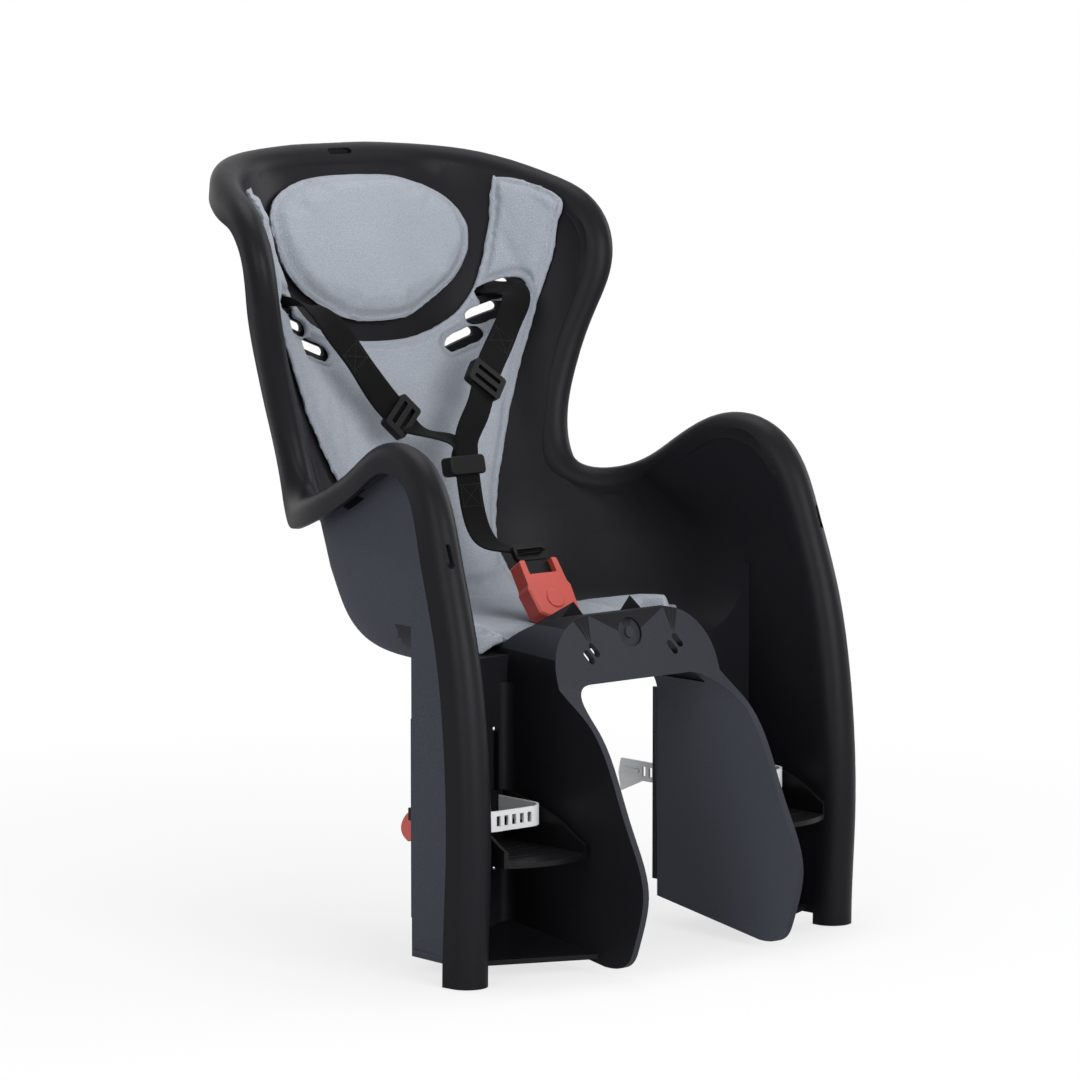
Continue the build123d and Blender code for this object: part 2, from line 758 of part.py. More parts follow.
# Buckle: plane with x across, y up along the buckle and z out of its front
tilt = math.radians(buckle_lean)
buckle_normal = (0, -math.cos(tilt), math.sin(tilt))
buckle_plane = Plane(origin=(0, buckle_y, buckle_z), x_dir=(1, 0, 0), z_dir=buckle_normal)
half_length = buckle_length / 2
half_width = buckle_width / 2
half_neck = buckle_neck / 2
with BuildPart(buckle_plane) as buckle_body:
    with BuildSketch(buckle_plane) as buckle_outline:
        with BuildLine():
            Polyline(
                (1 - half_neck, half_length), (half_neck - 1, half_length), (half_neck, 4), (half_width, 0),
                (half_width - 2, 4 - half_length), (half_width - 10, -half_length),
                (10 - half_width, -half_length), (2 - half_width, 4 - half_length), (-half_width, 0),
                (-half_neck, 4), close=True,
            )
        make_face()
        fillet(buckle_outline.vertices(), buckle_corner)
    extrude(amount=buckle_thick / 2, both=True)
    buckle_out = Axis(buckle_plane.origin, buckle_plane.z_dir)
    chamfer(buckle_body.faces().sort_by(buckle_out)[-1].edges(), buckle_edge)
    # lower step above the button, and an open mouth that shows the tongue
    with Locations((0, half_length, buckle_thick / 2)):
        Box(2 * buckle_width, buckle_length - 4, 2 * buckle_step, mode=Mode.SUBTRACT)
        Box(tongue_width + 2 * latch_gap, 2 * mouth_deep, buckle_thick, mode=Mode.SUBTRACT)
    with Locations((0, half_length, 0)):
        Box(tongue_width + 2 * latch_gap, 36, tongue_thick + 2 * latch_gap, mode=Mode.SUBTRACT)
    with Locations((0, button_y, buckle_thick / 2)):
        Cylinder(button_radius + running_gap, 2 * (button_deep + button_travel), mode=Mode.SUBTRACT)
    with Locations((0, -half_length, 0)):
        Box(webbing_width + 2 * webbing_play, 14, webbing_thick + 4 * webbing_play, mode=Mode.SUBTRACT)
buckle_body.part.label = "buckle_body"

with BuildPart(buckle_plane) as buckle_button:
    with Locations((0, button_y, buckle_thick / 2 + button_high)):
        Cylinder(button_radius, button_deep + button_high, align=(Align.CENTER, Align.CENTER, Align.MAX))
    chamfer(buckle_button.edges().group_by(buckle_out)[-1], 0.8)
buckle_button.part.label = "buckle_button"

strap_in_tongue = lower_route[-2]
with BuildPart(buckle_plane) as tongue_blank:
    with BuildSketch(buckle_plane):
        with Locations((0, half_length - 7)):
            RectangleRounded(tongue_width, 20, 2)
    extrude(amount=tongue_thick / 2, both=True)
    with BuildSketch(buckle_plane):
        with Locations((0, half_length + 9)):
            RectangleRounded(34, 15, 4)
        with Locations((0, half_length + 10)):
            SlotOverall(tongue_width, 2 * webbing_thick, mode=Mode.SUBTRACT)
    extrude(amount=tongue_frame_half, both=True)

with BuildPart(Plane(origin=strap_in_tongue, x_dir=(1, 0, 0), z_dir=lower_facing[-2])) as strap_room:
    Box(webbing_width + 2 * webbing_play, 24, webbing_thick + 2 * webbing_play)

with BuildPart() as buckle_tongue:
    add(tongue_blank.part)
    add(strap_room.part, mode=Mode.SUBTRACT)
buckle_tongue.part.label = "buckle_tongue"

# Crotch strap from the buckle down through the pad and the pan, with its stitched end below
along_down = Vector(0, -math.sin(tilt), -math.cos(tilt))
crotch_top = Vector(0, buckle_y, buckle_z) + along_down * (half_length - 5)
crotch_mid = crotch_top + along_down * 4
crotch_low = crotch_top + along_down * 8
crotch_end = pan_level - stitch_high - stitch_gap
crotch_route = (
    tuple(crotch_top), tuple(crotch_mid), tuple(crotch_low), (0, crotch_y, pan_level + 11),
    (0, crotch_y, pan_level + 4), (0, crotch_y, crotch_end),
)
crotch_facing = (buckle_normal, buckle_normal, buckle_normal, (0, -0.97, 0.2), (0, -1, 0), (0, -1, 0))
with BuildPart() as crotch_strap:
    add(ribbon(crotch_route, crotch_facing, webbing_width, webbing_thick))
    with Locations((0, crotch_y, crotch_end + stitch_high / 2)):
        Box(webbing_width + 2, stitch_depth, stitch_high)
crotch_strap.part.label = "crotch_strap"

# Right footrest: tray, heel wall, side walls and the neck through the back wall in one moulding
with BuildPart() as right_footrest:
    with BuildSketch(Plane.XY.offset(rest_level)) as rest_plan:
        with BuildLine():
            Polyline(
                (rest_inner, rest_front + 8), (rest_inner, rest_back), (rest_outer, rest_back),
                (rest_outer, rest_front + 14),
            )
            ThreePointArc((rest_outer, rest_front + 14), (neck_x, rest_front), (rest_inner, rest_front + 8))
        make_face()
    extrude(amount=rest_high)
    with BuildSketch(Plane.YZ) as rest_side:
        with BuildLine():
            Polyline(
                (rest_front - 5, rest_level + rest_floor), (rest_front - 5, rail_high),
                (rest_back, rail_high), (rest_back, rest_level + rest_high),
            )
            Spline(
                (rest_back, rest_level + rest_high), (12, rest_level + 36), (-18, rest_level + 27),
                (-42, rest_level + 14), (rest_front - 5, rest_level + rest_floor),
                tangents=[(-1, 0), (-0.8, -0.6)],
            )
        make_face()
    extrude(amount=400, both=True, mode=Mode.SUBTRACT)
    with BuildSketch(Plane.XY.offset(rest_level + rest_floor)):
        with Locations(((rest_inner + rest_outer) / 2, rest_back - rest_wall)):
            Rectangle(rest_outer - rest_inner - 2 * rest_wall, 200, align=(Align.CENTER, Align.MAX))
    extrude(amount=100, mode=Mode.SUBTRACT)
    with Locations((neck_x, rest_back, neck_low)):
        Box(
            neck_width, channel_back + slider_gap - rest_back, neck_high - neck_low,
            align=(Align.CENTER, Align.MIN, Align.MIN),
        )
    with Locations((foot_strap_x, rest_back, foot_strap_low + foot_strap_width / 2)):
        Box(foot_strap_thick + 1, 20, foot_strap_width + 1, mode=Mode.SUBTRACT)
    # grip ribs on the tray
    with Locations((neck_x, -12, rest_level + rest_floor)):
        with GridLocations(0, 12, 1, 4):
            Box(56, 2, 1.2, align=(Align.CENTER, Align.CENTER, Align.MIN))
    # rivet hole for the foot strap's fixed end
    with Locations((rest_outer, rivet_y, foot_strap_low + foot_strap_width / 2)):
        Cylinder(screw_radius + hole_gap, 12, rotation=(0, 90, 0), mode=Mode.SUBTRACT)
    # pilot holes for the slider screws
    with Locations((neck_x, channel_back + slider_gap, (neck_low + neck_high) / 2)):
        with Locations((0, 0, -screw_spread), (0, 0, screw_spread)):
            Cylinder(screw_radius + running_gap, 24, rotation=(90, 0, 0), mode=Mode.SUBTRACT)
right_footrest.part.label = "right_footrest"

# Slider plate behind the back wall, running between the two rails
slider_front = channel_back + slider_gap
slider_rear = slider_front + slider_thick
latch_pivot = (slider_rear + latch_pivot_out, latch_pivot_z)
catch_left = foot_strap_x + foot_strap_thick / 2 + catch_strap_gap
catch_pivot = (catch_left + catch_pivot_in, slider_rear + catch_pivot_out)
with BuildPart() as right_slider:
    with Locations(((rail_inner + rail_outer) / 2, slider_front, (slider_low + slider_high) / 2)):
        Box(
            rail_outer - rail_inner - 2 * rail_wall - 2 * slider_gap, slider_thick, slider_high - slider_low,
            align=(Align.CENTER, Align.MIN, Align.CENTER),
        )
    with Locations((foot_strap_x, slider_front, foot_strap_low + foot_strap_width / 2)):
        Box(foot_strap_thick + 1, 20, foot_strap_width + 1, mode=Mode.SUBTRACT)
    with Locations((neck_x, slider_front, (neck_low + neck_high) / 2)):
        with Locations((0, 0, -screw_spread), (0, 0, screw_spread)):
            Cylinder(screw_radius + hole_gap, 24, rotation=(90, 0, 0), mode=Mode.SUBTRACT)
    for place in (latch_left - latch_gap - ear_thick, latch_right + latch_gap):
        with Locations((place, slider_rear, latch_pivot[1] - ear_size / 2)):
            Box(ear_thick, ear_size, ear_size, align=(Align.MIN, Align.MIN, Align.MIN))
    with Locations((latch_left, latch_pivot[0], latch_pivot[1])):
        Cylinder(pivot_radius, 60, rotation=(0, 90, 0), mode=Mode.SUBTRACT)
    for place in (catch_low - latch_gap - ear_thick, catch_high + latch_gap):
        with Locations((catch_pivot[0], slider_rear, place)):
            Box(ear_size, ear_size, ear_thick, align=(Align.CENTER, Align.MIN, Align.MIN))
    with Locations((catch_pivot[0], catch_pivot[1], (catch_low + catch_high) / 2)):
        Cylinder(pivot_radius, 60, mode=Mode.SUBTRACT)
right_slider.part.label = "right_slider"

with BuildPart() as right_slider_screws:
    with Locations((neck_x, slider_rear, (neck_low + neck_high) / 2)):
        with Locations((0, 0, -screw_spread), (0, 0, screw_spread)):
            Cylinder(
                screw_radius, screw_length, rotation=(90, 0, 0), align=(Align.CENTER, Align.CENTER, Align.MIN)
            )
            Cylinder(
                screw_head_radius, screw_head_high, rotation=(90, 0, 0),
                align=(Align.CENTER, Align.CENTER, Align.MAX),
            )
right_slider_screws.part.label = "right_slider_screws"

# Red height latch: a finger lever on a cross pin behind the slider
with BuildPart() as right_latch:
    with BuildSketch(Plane.YZ.offset(latch_left)):
        with BuildLine():
            lever_line = Spline(
                (latch_pivot[0] + 2, latch_pivot[1] + 3), (slider_rear + 18, latch_pivot[1] - 3),
                (slider_rear + latch_reach, latch_low + 10), (slider_rear + 14, latch_low),
                tangents=[(1, -0.2), (-1, -0.4)],
            )
            Polyline(
                lever_line @ 1, (slider_rear + 1.2, latch_low + 7), (slider_rear + 1.2, latch_pivot[1]),
                lever_line @ 0,
            )
        make_face()
        with Locations(latch_pivot):
            Circle(latch_round)
    extrude(amount=latch_right - latch_left)
    with Locations((latch_left, latch_pivot[0], latch_pivot[1])):
        Cylinder(pivot_radius + running_gap, 60, rotation=(0, 90, 0), mode=Mode.SUBTRACT)
right_latch.part.label = "right_latch"

with BuildPart() as right_latch_pin:
    with Locations((latch_left - latch_gap - ear_thick, latch_pivot[0], latch_pivot[1])):
        Cylinder(
            pivot_radius, latch_right - latch_left + 2 * (latch_gap + ear_thick), rotation=(0, 90, 0),
            align=(Align.CENTER, Align.CENTER, Align.MIN),
        )
right_latch_pin.part.label = "right_latch_pin"

# Red strap catch: a pawl on an upright pin beside the strap tail
with BuildPart() as right_catch:
    with BuildSketch(Plane.XY.offset(catch_low)):
        with BuildLine():
            catch_right = catch_left + catch_width
            catch_rear = slider_rear + catch_depth
            Polyline(
                (catch_left, slider_rear + 1), (catch_right - 2, slider_rear + 1),
                (catch_right, slider_rear + 4), (catch_right, slider_rear + 8), (catch_left + 6, catch_rear),
                (catch_left + 1.5, catch_rear), (catch_left, catch_rear - 6), close=True,
            )
        make_face()
    extrude(amount=catch_high - catch_low)
    with Locations((catch_pivot[0], catch_pivot[1], catch_low)):
        Cylinder(pivot_radius + running_gap, 80, mode=Mode.SUBTRACT)
right_catch.part.label = "right_catch"

with BuildPart() as right_catch_pin:
    with Locations((catch_pivot[0], catch_pivot[1], catch_low - latch_gap - ear_thick)):
        Cylinder(
            pivot_radius, catch_high - catch_low + 2 * (latch_gap + ear_thick),
            align=(Align.CENTER, Align.CENTER, Align.MIN),
        )
right_catch_pin.part.label = "right_catch_pin"

# Perforated foot strap with its flared tail behind the leg guard
strap_mid = foot_strap_low + foot_strap_width / 2
with BuildPart() as right_foot_strap:
    with BuildSketch(Plane.XY.offset(foot_strap_low)) as strap_plan:
        with BuildLine() as strap_line:
            FilletPolyline(
                (foot_strap_x, strap_tail), (foot_strap_x, foot_strap_front),
                (foot_strap_end, foot_strap_front), (foot_strap_end, rivet_y + 10), radius=foot_strap_bend,
            )
            offset(amount=foot_strap_thick / 2, kind=Kind.ARC, side=Side.BOTH)
        make_face()
    extrude(amount=foot_strap_width)
    # flared tail
    with BuildSketch(Plane.YZ.offset(foot_strap_x - foot_strap_thick / 2)):
        with BuildLine():
            Polyline(
                (strap_tail - 2, strap_mid - 8), (fan_end, strap_mid - 19), (fan_end + 3, strap_mid - 4),
                (fan_end, strap_mid + 8), (strap_tail - 2, strap_mid + 8), close=True,
            )
        make_face()
    extrude(amount=foot_strap_thick)
    # ridges on the tail
    for rise in (-0.42, -0.2, 0.02):
        ridge_middle = (foot_strap_x - foot_strap_thick / 2, strap_tail + 12, strap_mid + 12 * rise)
        with Locations(Location(ridge_middle, (math.degrees(math.atan(rise)), 0, 0))):
            Box(ridge_high, 20, 2 * ridge_high, align=(Align.MAX, Align.CENTER, Align.CENTER))
    # holes
    with BuildSketch(Plane.YZ.offset(foot_strap_x - 10)):
        with Locations((strap_tail - 16, strap_mid)):
            with GridLocations(hole_pitch, 0, 4, 1):
                Rectangle(hole_length, hole_height)
    extrude(amount=20, mode=Mode.SUBTRACT)
    with BuildSketch(Plane.XZ.offset(-foot_strap_front + 10)):
        with Locations(((foot_strap_x + foot_strap_end) / 2, strap_mid)):
            with GridLocations(hole_pitch, 0, 5, 1):
                Rectangle(hole_length, hole_height)
    extrude(amount=-20, mode=Mode.SUBTRACT)
    with Locations((foot_strap_end, rivet_y, strap_mid)):
        Cylinder(screw_radius + hole_gap, 20, rotation=(0, 90, 0), mode=Mode.SUBTRACT)
right_foot_strap.part.label = "right_foot_strap"

# Rivet that holds the strap's end to the footrest wall, with a spacer collar between them
with BuildPart() as right_strap_rivet:
    strap_inside = foot_strap_end - foot_strap_thick / 2
    strap_outside = foot_strap_end + foot_strap_thick / 2
    for radius, start, end in (
        (screw_head_radius, strap_inside - rivet_head_high, strap_inside),
        (screw_radius, strap_inside, rest_outer),
        (screw_head_radius, strap_outside, rest_outer - rest_wall),
        (screw_head_radius, rest_outer, rest_outer + rivet_head_high),
    ):
        with BuildSketch(Plane.YZ.offset(start)):
            with Locations((rivet_y, strap_mid)):
                Circle(radius)
        extrude(amount=end - start)
right_strap_rivet.part.label = "right_strap_rivet"

# Steel plate under the pan, with its two countersunk screws
with BuildPart() as mount_plate:
    with BuildSketch(Plane.XY.offset(pan_level - plate_thick)):
        with Locations((0, mount_y)):
            RectangleRounded(plate_length, plate_depth, 8)
            with GridLocations(mount_spacing_x, mount_spacing_y, 2, 2):
                Circle(mount_hole_radius, mode=Mode.SUBTRACT)
            with GridLocations(0, mount_spacing_y, 1, 2):
                Circle(plate_screw_radius + plate_screw_gap, mode=Mode.SUBTRACT)
    extrude(amount=plate_thick)
mount_plate.part.label = "mount_plate"

with BuildPart() as plate_screws:
    with Locations((0, mount_y, pan_level + wall)):
        with GridLocations(0, mount_spacing_y, 1, 2):
            Cylinder(plate_screw_radius, plate_screw_length, align=(Align.CENTER, Align.CENTER, Align.MAX))
            Cone(0.5, plate_screw_head, plate_screw_head - 0.5, align=(Align.CENTER, Align.CENTER, Align.MAX))
plate_screws.part.label = "plate_screws"

# The library's origin is the centre of the mounting plate's lower face
to_mount = Location((0, -mount_y, plate_thick - pan_level))
single_pieces = (
    seat_shell, back_pad, headrest_pad, shoulder_strap, lower_strap, right_adjuster, left_adjuster,
    strap_joiner, buckle_body, buckle_button, buckle_tongue, crotch_strap, mount_plate, plate_screws,
)
right_pieces = (
    right_footrest, right_slider, right_slider_screws, right_latch, right_latch_pin, right_catch,
    right_catch_pin, right_foot_strap, right_strap_rivet,
)
for piece in single_pieces + right_pieces:
    placed = piece.part.moved(to_mount)
    placed.label = piece.part.label
    export_step(placed, "parts/" + placed.label + ".step")

# The left side pieces are mirror images of the right ones
for piece in right_pieces:
    with BuildPart() as twin:
        mirror(piece.part.moved(to_mount), about=Plane.YZ)
    twin.part.label = piece.part.label.replace("right", "left")
    export_step(twin.part, "parts/" + twin.part.label + ".step")
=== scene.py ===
# %% [markdown]
# # Child bike seat
# A black moulded shell with a rolled rim, pale foam pads, a webbing harness with a red buckle,
# and two sliding footrests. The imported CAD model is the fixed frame: hard pieces keep their CAD
# shape and get a finish, and soft pieces are made again here, in the space that their solids hold.

# %% Load the frame
import json
import math

import bmesh
import bpy
import numpy as np
from mathutils import Matrix, Vector, bvhtree, kdtree


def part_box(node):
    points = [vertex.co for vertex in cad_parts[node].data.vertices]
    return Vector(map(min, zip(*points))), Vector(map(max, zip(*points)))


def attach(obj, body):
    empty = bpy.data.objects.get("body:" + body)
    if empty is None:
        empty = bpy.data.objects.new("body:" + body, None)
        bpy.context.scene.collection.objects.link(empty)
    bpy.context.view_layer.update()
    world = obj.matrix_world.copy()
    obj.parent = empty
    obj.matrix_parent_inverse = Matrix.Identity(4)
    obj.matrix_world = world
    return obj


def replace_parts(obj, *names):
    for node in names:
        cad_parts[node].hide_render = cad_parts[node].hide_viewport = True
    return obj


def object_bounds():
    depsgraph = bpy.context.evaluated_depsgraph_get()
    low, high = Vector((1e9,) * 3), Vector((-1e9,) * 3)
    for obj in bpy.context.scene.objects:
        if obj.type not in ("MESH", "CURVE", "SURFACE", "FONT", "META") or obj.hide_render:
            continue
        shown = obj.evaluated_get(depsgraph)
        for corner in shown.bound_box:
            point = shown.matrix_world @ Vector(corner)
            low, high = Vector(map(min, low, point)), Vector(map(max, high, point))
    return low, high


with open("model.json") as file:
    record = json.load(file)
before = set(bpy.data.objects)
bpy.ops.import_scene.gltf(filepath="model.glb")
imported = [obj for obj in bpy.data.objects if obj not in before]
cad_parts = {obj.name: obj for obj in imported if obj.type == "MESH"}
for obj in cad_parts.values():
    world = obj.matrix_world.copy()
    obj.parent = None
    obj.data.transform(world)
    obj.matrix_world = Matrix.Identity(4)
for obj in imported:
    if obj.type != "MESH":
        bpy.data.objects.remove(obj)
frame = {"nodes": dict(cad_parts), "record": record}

scene = bpy.context.scene
nodes = frame["nodes"]
cad_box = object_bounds()

# %% [markdown]
# ## Camera
# The photograph was taken from the front left with a long lens, a little above the seat. Pairs of
# points that mirror each other across the seat gave the angles, and the width of the webbing gave
# the distance. The camera looks at the dimple in the bridge, and a small sideways move frames it.

# %% Camera
AZIMUTH = math.radians(-41.37)
ELEVATION = math.radians(7.0)
DISTANCE = 4.3996
FOCAL_PIXELS = 5547.5
IMAGE_PIXELS = 1080
AIM = Vector((0.0, -0.140, 0.023))
SIDE_MOVE, UP_MOVE = 0.0730, -0.0730

right = Vector((math.cos(AZIMUTH), math.sin(AZIMUTH), 0.0))
back = Vector((
    math.sin(AZIMUTH) * math.cos(ELEVATION),
    -math.cos(AZIMUTH) * math.cos(ELEVATION),
    math.sin(ELEVATION),
))
up = back.cross(right)
place = AIM + back * DISTANCE - right * SIDE_MOVE - up * UP_MOVE
camera_data = bpy.data.cameras.new("photo_camera")
camera_data.sensor_width = 36.0
camera_data.lens = FOCAL_PIXELS / IMAGE_PIXELS * camera_data.sensor_width
camera_data.clip_end = 50.0
camera = bpy.data.objects.new("photo_camera", camera_data)
camera.matrix_world = Matrix((
    (right.x, up.x, back.x, place.x),
    (right.y, up.y, back.y, place.y),
    (right.z, up.z, back.z, place.z),
    (0.0, 0.0, 0.0, 1.0),
))
scene.collection.objects.link(camera)
scene.camera = camera
print("camera:", round(camera_data.lens, 1), "mm lens at", [round(v, 3) for v in place])

# %% [markdown]
# ## Studio
# A plain pale floor and a white surround, as in a product picture. What the camera and the glossy
# surfaces see of the surround is white, while its light on the seat stays at a plain level. Large
# soft lamps stand to the left, the right and above, so that dark plastic shows long soft sheens.

# %% World and floor
FLOOR_Z = cad_box[0].z - 0.0005

world = bpy.data.worlds.new("studio")
scene.world = world
world.use_nodes = True
tree = world.node_tree
tree.nodes.clear()
output = tree.nodes.new("ShaderNodeOutputWorld")
ambient = tree.nodes.new("ShaderNodeBackground")
ambient.inputs["Color"].default_value = (0.95, 0.97, 1.0, 1.0)
ambient.inputs["Strength"].default_value = 0.35
surround = tree.nodes.new("ShaderNodeBackground")
surround.inputs["Color"].default_value = (1.0, 1.0, 1.0, 1.0)
light_path = tree.nodes.new("ShaderNodeLightPath")
blend_world = tree.nodes.new("ShaderNodeMixShader")
seen = light_path.outputs["Is Camera Ray"]
for ray in ("Is Glossy Ray", "Is Transmission Ray"):
    either = tree.nodes.new("ShaderNodeMath")
    either.operation = "MAXIMUM"
    tree.links.new(seen, either.inputs[0])
    tree.links.new(light_path.outputs[ray], either.inputs[1])
    seen = either.outputs[0]
tree.links.new(seen, blend_world.inputs["Fac"])
tree.links.new(ambient.outputs[0], blend_world.inputs[1])
tree.links.new(surround.outputs[0], blend_world.inputs[2])
tree.links.new(blend_world.outputs[0], output.inputs["Surface"])

floor_mesh = bpy.data.meshes.new("studio_floor")
reach = 8.0
floor_mesh.from_pydata(
    [(-reach, -reach, FLOOR_Z), (reach, -reach, FLOOR_Z), (reach, reach, FLOOR_Z), (-reach, reach, FLOOR_Z)],
    [], [(0, 1, 2, 3)],
)
floor = bpy.data.objects.new("studio_floor", floor_mesh)
scene.collection.objects.link(floor)
floor_finish = bpy.data.materials.new("pale_floor")
floor_finish.use_nodes = True
tree = floor_finish.node_tree
tree.nodes.clear()
output = tree.nodes.new("ShaderNodeOutputMaterial")
paint = tree.nodes.new("ShaderNodeBsdfDiffuse")
paint.inputs["Color"].default_value = (0.85, 0.85, 0.85, 1.0)
glow = tree.nodes.new("ShaderNodeEmission")
glow.inputs["Strength"].default_value = 1.0
light_path = tree.nodes.new("ShaderNodeLightPath")
spot = tree.nodes.new("ShaderNodeTexCoord")
far = tree.nodes.new("ShaderNodeVectorMath")
far.operation = "LENGTH"
tree.links.new(spot.outputs["Object"], far.inputs[0])
whiter = tree.nodes.new("ShaderNodeMapRange")
whiter.inputs["From Min"].default_value = 0.35
whiter.inputs["From Max"].default_value = 1.1
whiter.inputs["To Min"].default_value = 0.72
whiter.inputs["To Max"].default_value = 1.0
tree.links.new(far.outputs["Value"], whiter.inputs["Value"])
share = tree.nodes.new("ShaderNodeMath")
share.operation = "MULTIPLY"
tree.links.new(whiter.outputs["Result"], share.inputs[1])
blend_floor = tree.nodes.new("ShaderNodeMixShader")
tree.links.new(light_path.outputs["Is Camera Ray"], share.inputs[0])
tree.links.new(share.outputs[0], blend_floor.inputs["Fac"])
tree.links.new(paint.outputs[0], blend_floor.inputs[1])
tree.links.new(glow.outputs[0], blend_floor.inputs[2])
tree.links.new(blend_floor.outputs[0], output.inputs["Surface"])
floor_mesh.materials.append(floor_finish)
scene.view_settings.view_transform = "Standard"
print("floor at z =", round(FLOOR_Z, 4))

# %% Lamps
SEAT_MIDDLE = Vector((0.0, 0.0, 0.1))


def soft_lamp(name, offset, size, watts):
    """A square area lamp that faces the middle of the seat."""
    data = bpy.data.lights.new(name, "AREA")
    data.shape = "RECTANGLE"
    data.size, data.size_y = size
    data.energy = watts
    lamp = bpy.data.objects.new(name, data)
    lamp.location = SEAT_MIDDLE + Vector(offset)
    lamp.rotation_mode = "QUATERNION"
    lamp.rotation_quaternion = (-Vector(offset)).to_track_quat("-Z", "Y")
    scene.collection.objects.link(lamp)
    return lamp


soft_lamp("left_softbox", (-2.2, -0.9, 0.7), (1.0, 1.6), 20.0)
soft_lamp("front_softbox", (-0.4, -2.6, 0.75), (1.6, 1.2), 50.0)
soft_lamp("right_softbox", (2.4, -0.5, 0.9), (0.8, 1.6), 18.0)
soft_lamp("top_softbox", (0.2, 0.4, 2.2), (1.6, 1.6), 26.0)
print("lamps: left, front, right and top")

# %% [markdown]
# ## Shared effects
# Three small effects are used by more than one finish, so each is a shader node group with named
# inputs: the spark-eroded grain that moulds leave on plastic, the pebbled grain of embossed foam,
# and the twill of woven webbing. The groups give only values and masks; each finish keeps its own
# shader and sets its constant numbers there.

# %% Group helpers


def new_group(name, inputs, outputs):
    """A shader node group with named sockets: (name, type, default) in, (name, type) out."""
    group = bpy.data.node_groups.new(name, "ShaderNodeTree")
    for label, kind, default in inputs:
        socket = group.interface.new_socket(label, in_out="INPUT", socket_type=kind)
        if default is not None:
            socket.default_value = default
    for label, kind in outputs:
        group.interface.new_socket(label, in_out="OUTPUT", socket_type=kind)
    start = group.nodes.new("NodeGroupInput")
    end = group.nodes.new("NodeGroupOutput")
    return group, start, end


def add_node(tree, kind, **settings):
    """A node with properties and unlinked inputs set by name."""
    node = tree.nodes.new(kind)
    for key, value in settings.items():
        if hasattr(node, key):
            setattr(node, key, value)
        else:
            node.inputs[key.replace("_", " ").title()].default_value = value
    return node


def maths(tree, operation, first, second):
    """A Math node; each operand is a socket to link or a number."""
    node = tree.nodes.new("ShaderNodeMath")
    node.operation = operation
    for slot, operand in zip(node.inputs, (first, second)):
        if isinstance(operand, (int, float)):
            slot.default_value = operand
        else:
            tree.links.new(operand, slot)
    return node.outputs[0]


# %% Moulded grain group
moulded_grain, start, end = new_group(
    "moulded_grain",
    [("Vector", "NodeSocketVector", None), ("Scale", "NodeSocketFloat", 900.0)],
    [("Height", "NodeSocketFloat"), ("Mottle", "NodeSocketFloat")],
)
fine = add_node(moulded_grain, "ShaderNodeTexNoise", Detail=3.0, Roughness=0.6)
broad = add_node(moulded_grain, "ShaderNodeTexNoise", Scale=14.0, Detail=4.0, Roughness=0.55)
moulded_grain.links.new(start.outputs["Vector"], fine.inputs["Vector"])
moulded_grain.links.new(start.outputs["Scale"], fine.inputs["Scale"])
moulded_grain.links.new(start.outputs["Vector"], broad.inputs["Vector"])
moulded_grain.links.new(fine.outputs["Fac"], end.inputs["Height"])
moulded_grain.links.new(broad.outputs["Fac"], end.inputs["Mottle"])

# %% Foam grain group
foam_grain, start, end = new_group(
    "foam_grain",
    [("Vector", "NodeSocketVector", None), ("Pebble Scale", "NodeSocketFloat", 420.0)],
    [("Height", "NodeSocketFloat"), ("Crease", "NodeSocketFloat"), ("Mottle", "NodeSocketFloat")],
)
warp = add_node(foam_grain, "ShaderNodeTexNoise", Scale=160.0, Detail=2.0)
shift = foam_grain.nodes.new("ShaderNodeVectorMath")
shift.operation = "MULTIPLY_ADD"
shift.inputs[1].default_value = (0.003, 0.003, 0.003)
pebbles = foam_grain.nodes.new("ShaderNodeTexVoronoi")
pebbles.feature = "DISTANCE_TO_EDGE"
creases = add_node(foam_grain, "ShaderNodeTexNoise", Scale=38.0, Detail=5.0, Roughness=0.65)
broad = add_node(foam_grain, "ShaderNodeTexNoise", Scale=9.0, Detail=3.0)
for texture in (warp, creases, broad):
    foam_grain.links.new(start.outputs["Vector"], texture.inputs["Vector"])
foam_grain.links.new(warp.outputs["Color"], shift.inputs[0])
foam_grain.links.new(start.outputs["Vector"], shift.inputs[2])
foam_grain.links.new(shift.outputs[0], pebbles.inputs["Vector"])
foam_grain.links.new(start.outputs["Pebble Scale"], pebbles.inputs["Scale"])
pebble_top = add_node(foam_grain, "ShaderNodeMapRange")
pebble_top.inputs["From Max"].default_value = 0.25
foam_grain.links.new(pebbles.outputs["Distance"], pebble_top.inputs["Value"])
foam_grain.links.new(pebble_top.outputs["Result"], end.inputs["Height"])
foam_grain.links.new(creases.outputs["Fac"], end.inputs["Crease"])
foam_grain.links.new(broad.outputs["Fac"], end.inputs["Mottle"])

# %% Webbing weave group
webbing_weave, start, end = new_group(
    "webbing_weave",
    [
        ("Vector", "NodeSocketVector", None), ("Ribs", "NodeSocketFloat", 420.0),
        ("Picks", "NodeSocketFloat", 900.0),
    ],
    [("Height", "NodeSocketFloat"), ("Shade", "NodeSocketFloat")],
)
split = webbing_weave.nodes.new("ShaderNodeSeparateXYZ")
webbing_weave.links.new(start.outputs["Vector"], split.inputs[0])
across = maths(webbing_weave, "MULTIPLY", split.outputs["X"], start.outputs["Ribs"])
along = maths(webbing_weave, "MULTIPLY", split.outputs["Y"], start.outputs["Picks"])
rib = maths(webbing_weave, "PINGPONG", across, 0.5)
lean = maths(webbing_weave, "ADD", along, across)
pick = maths(webbing_weave, "PINGPONG", lean, 0.5)
height = maths(webbing_weave, "ADD", rib, maths(webbing_weave, "MULTIPLY", pick, 0.8))
webbing_weave.links.new(height, end.inputs["Height"])
# Shade is low in the hollows of the weave; the webbing finish paints it there as shade.
webbing_weave.links.new(maths(webbing_weave, "MULTIPLY", rib, pick), end.inputs["Shade"])
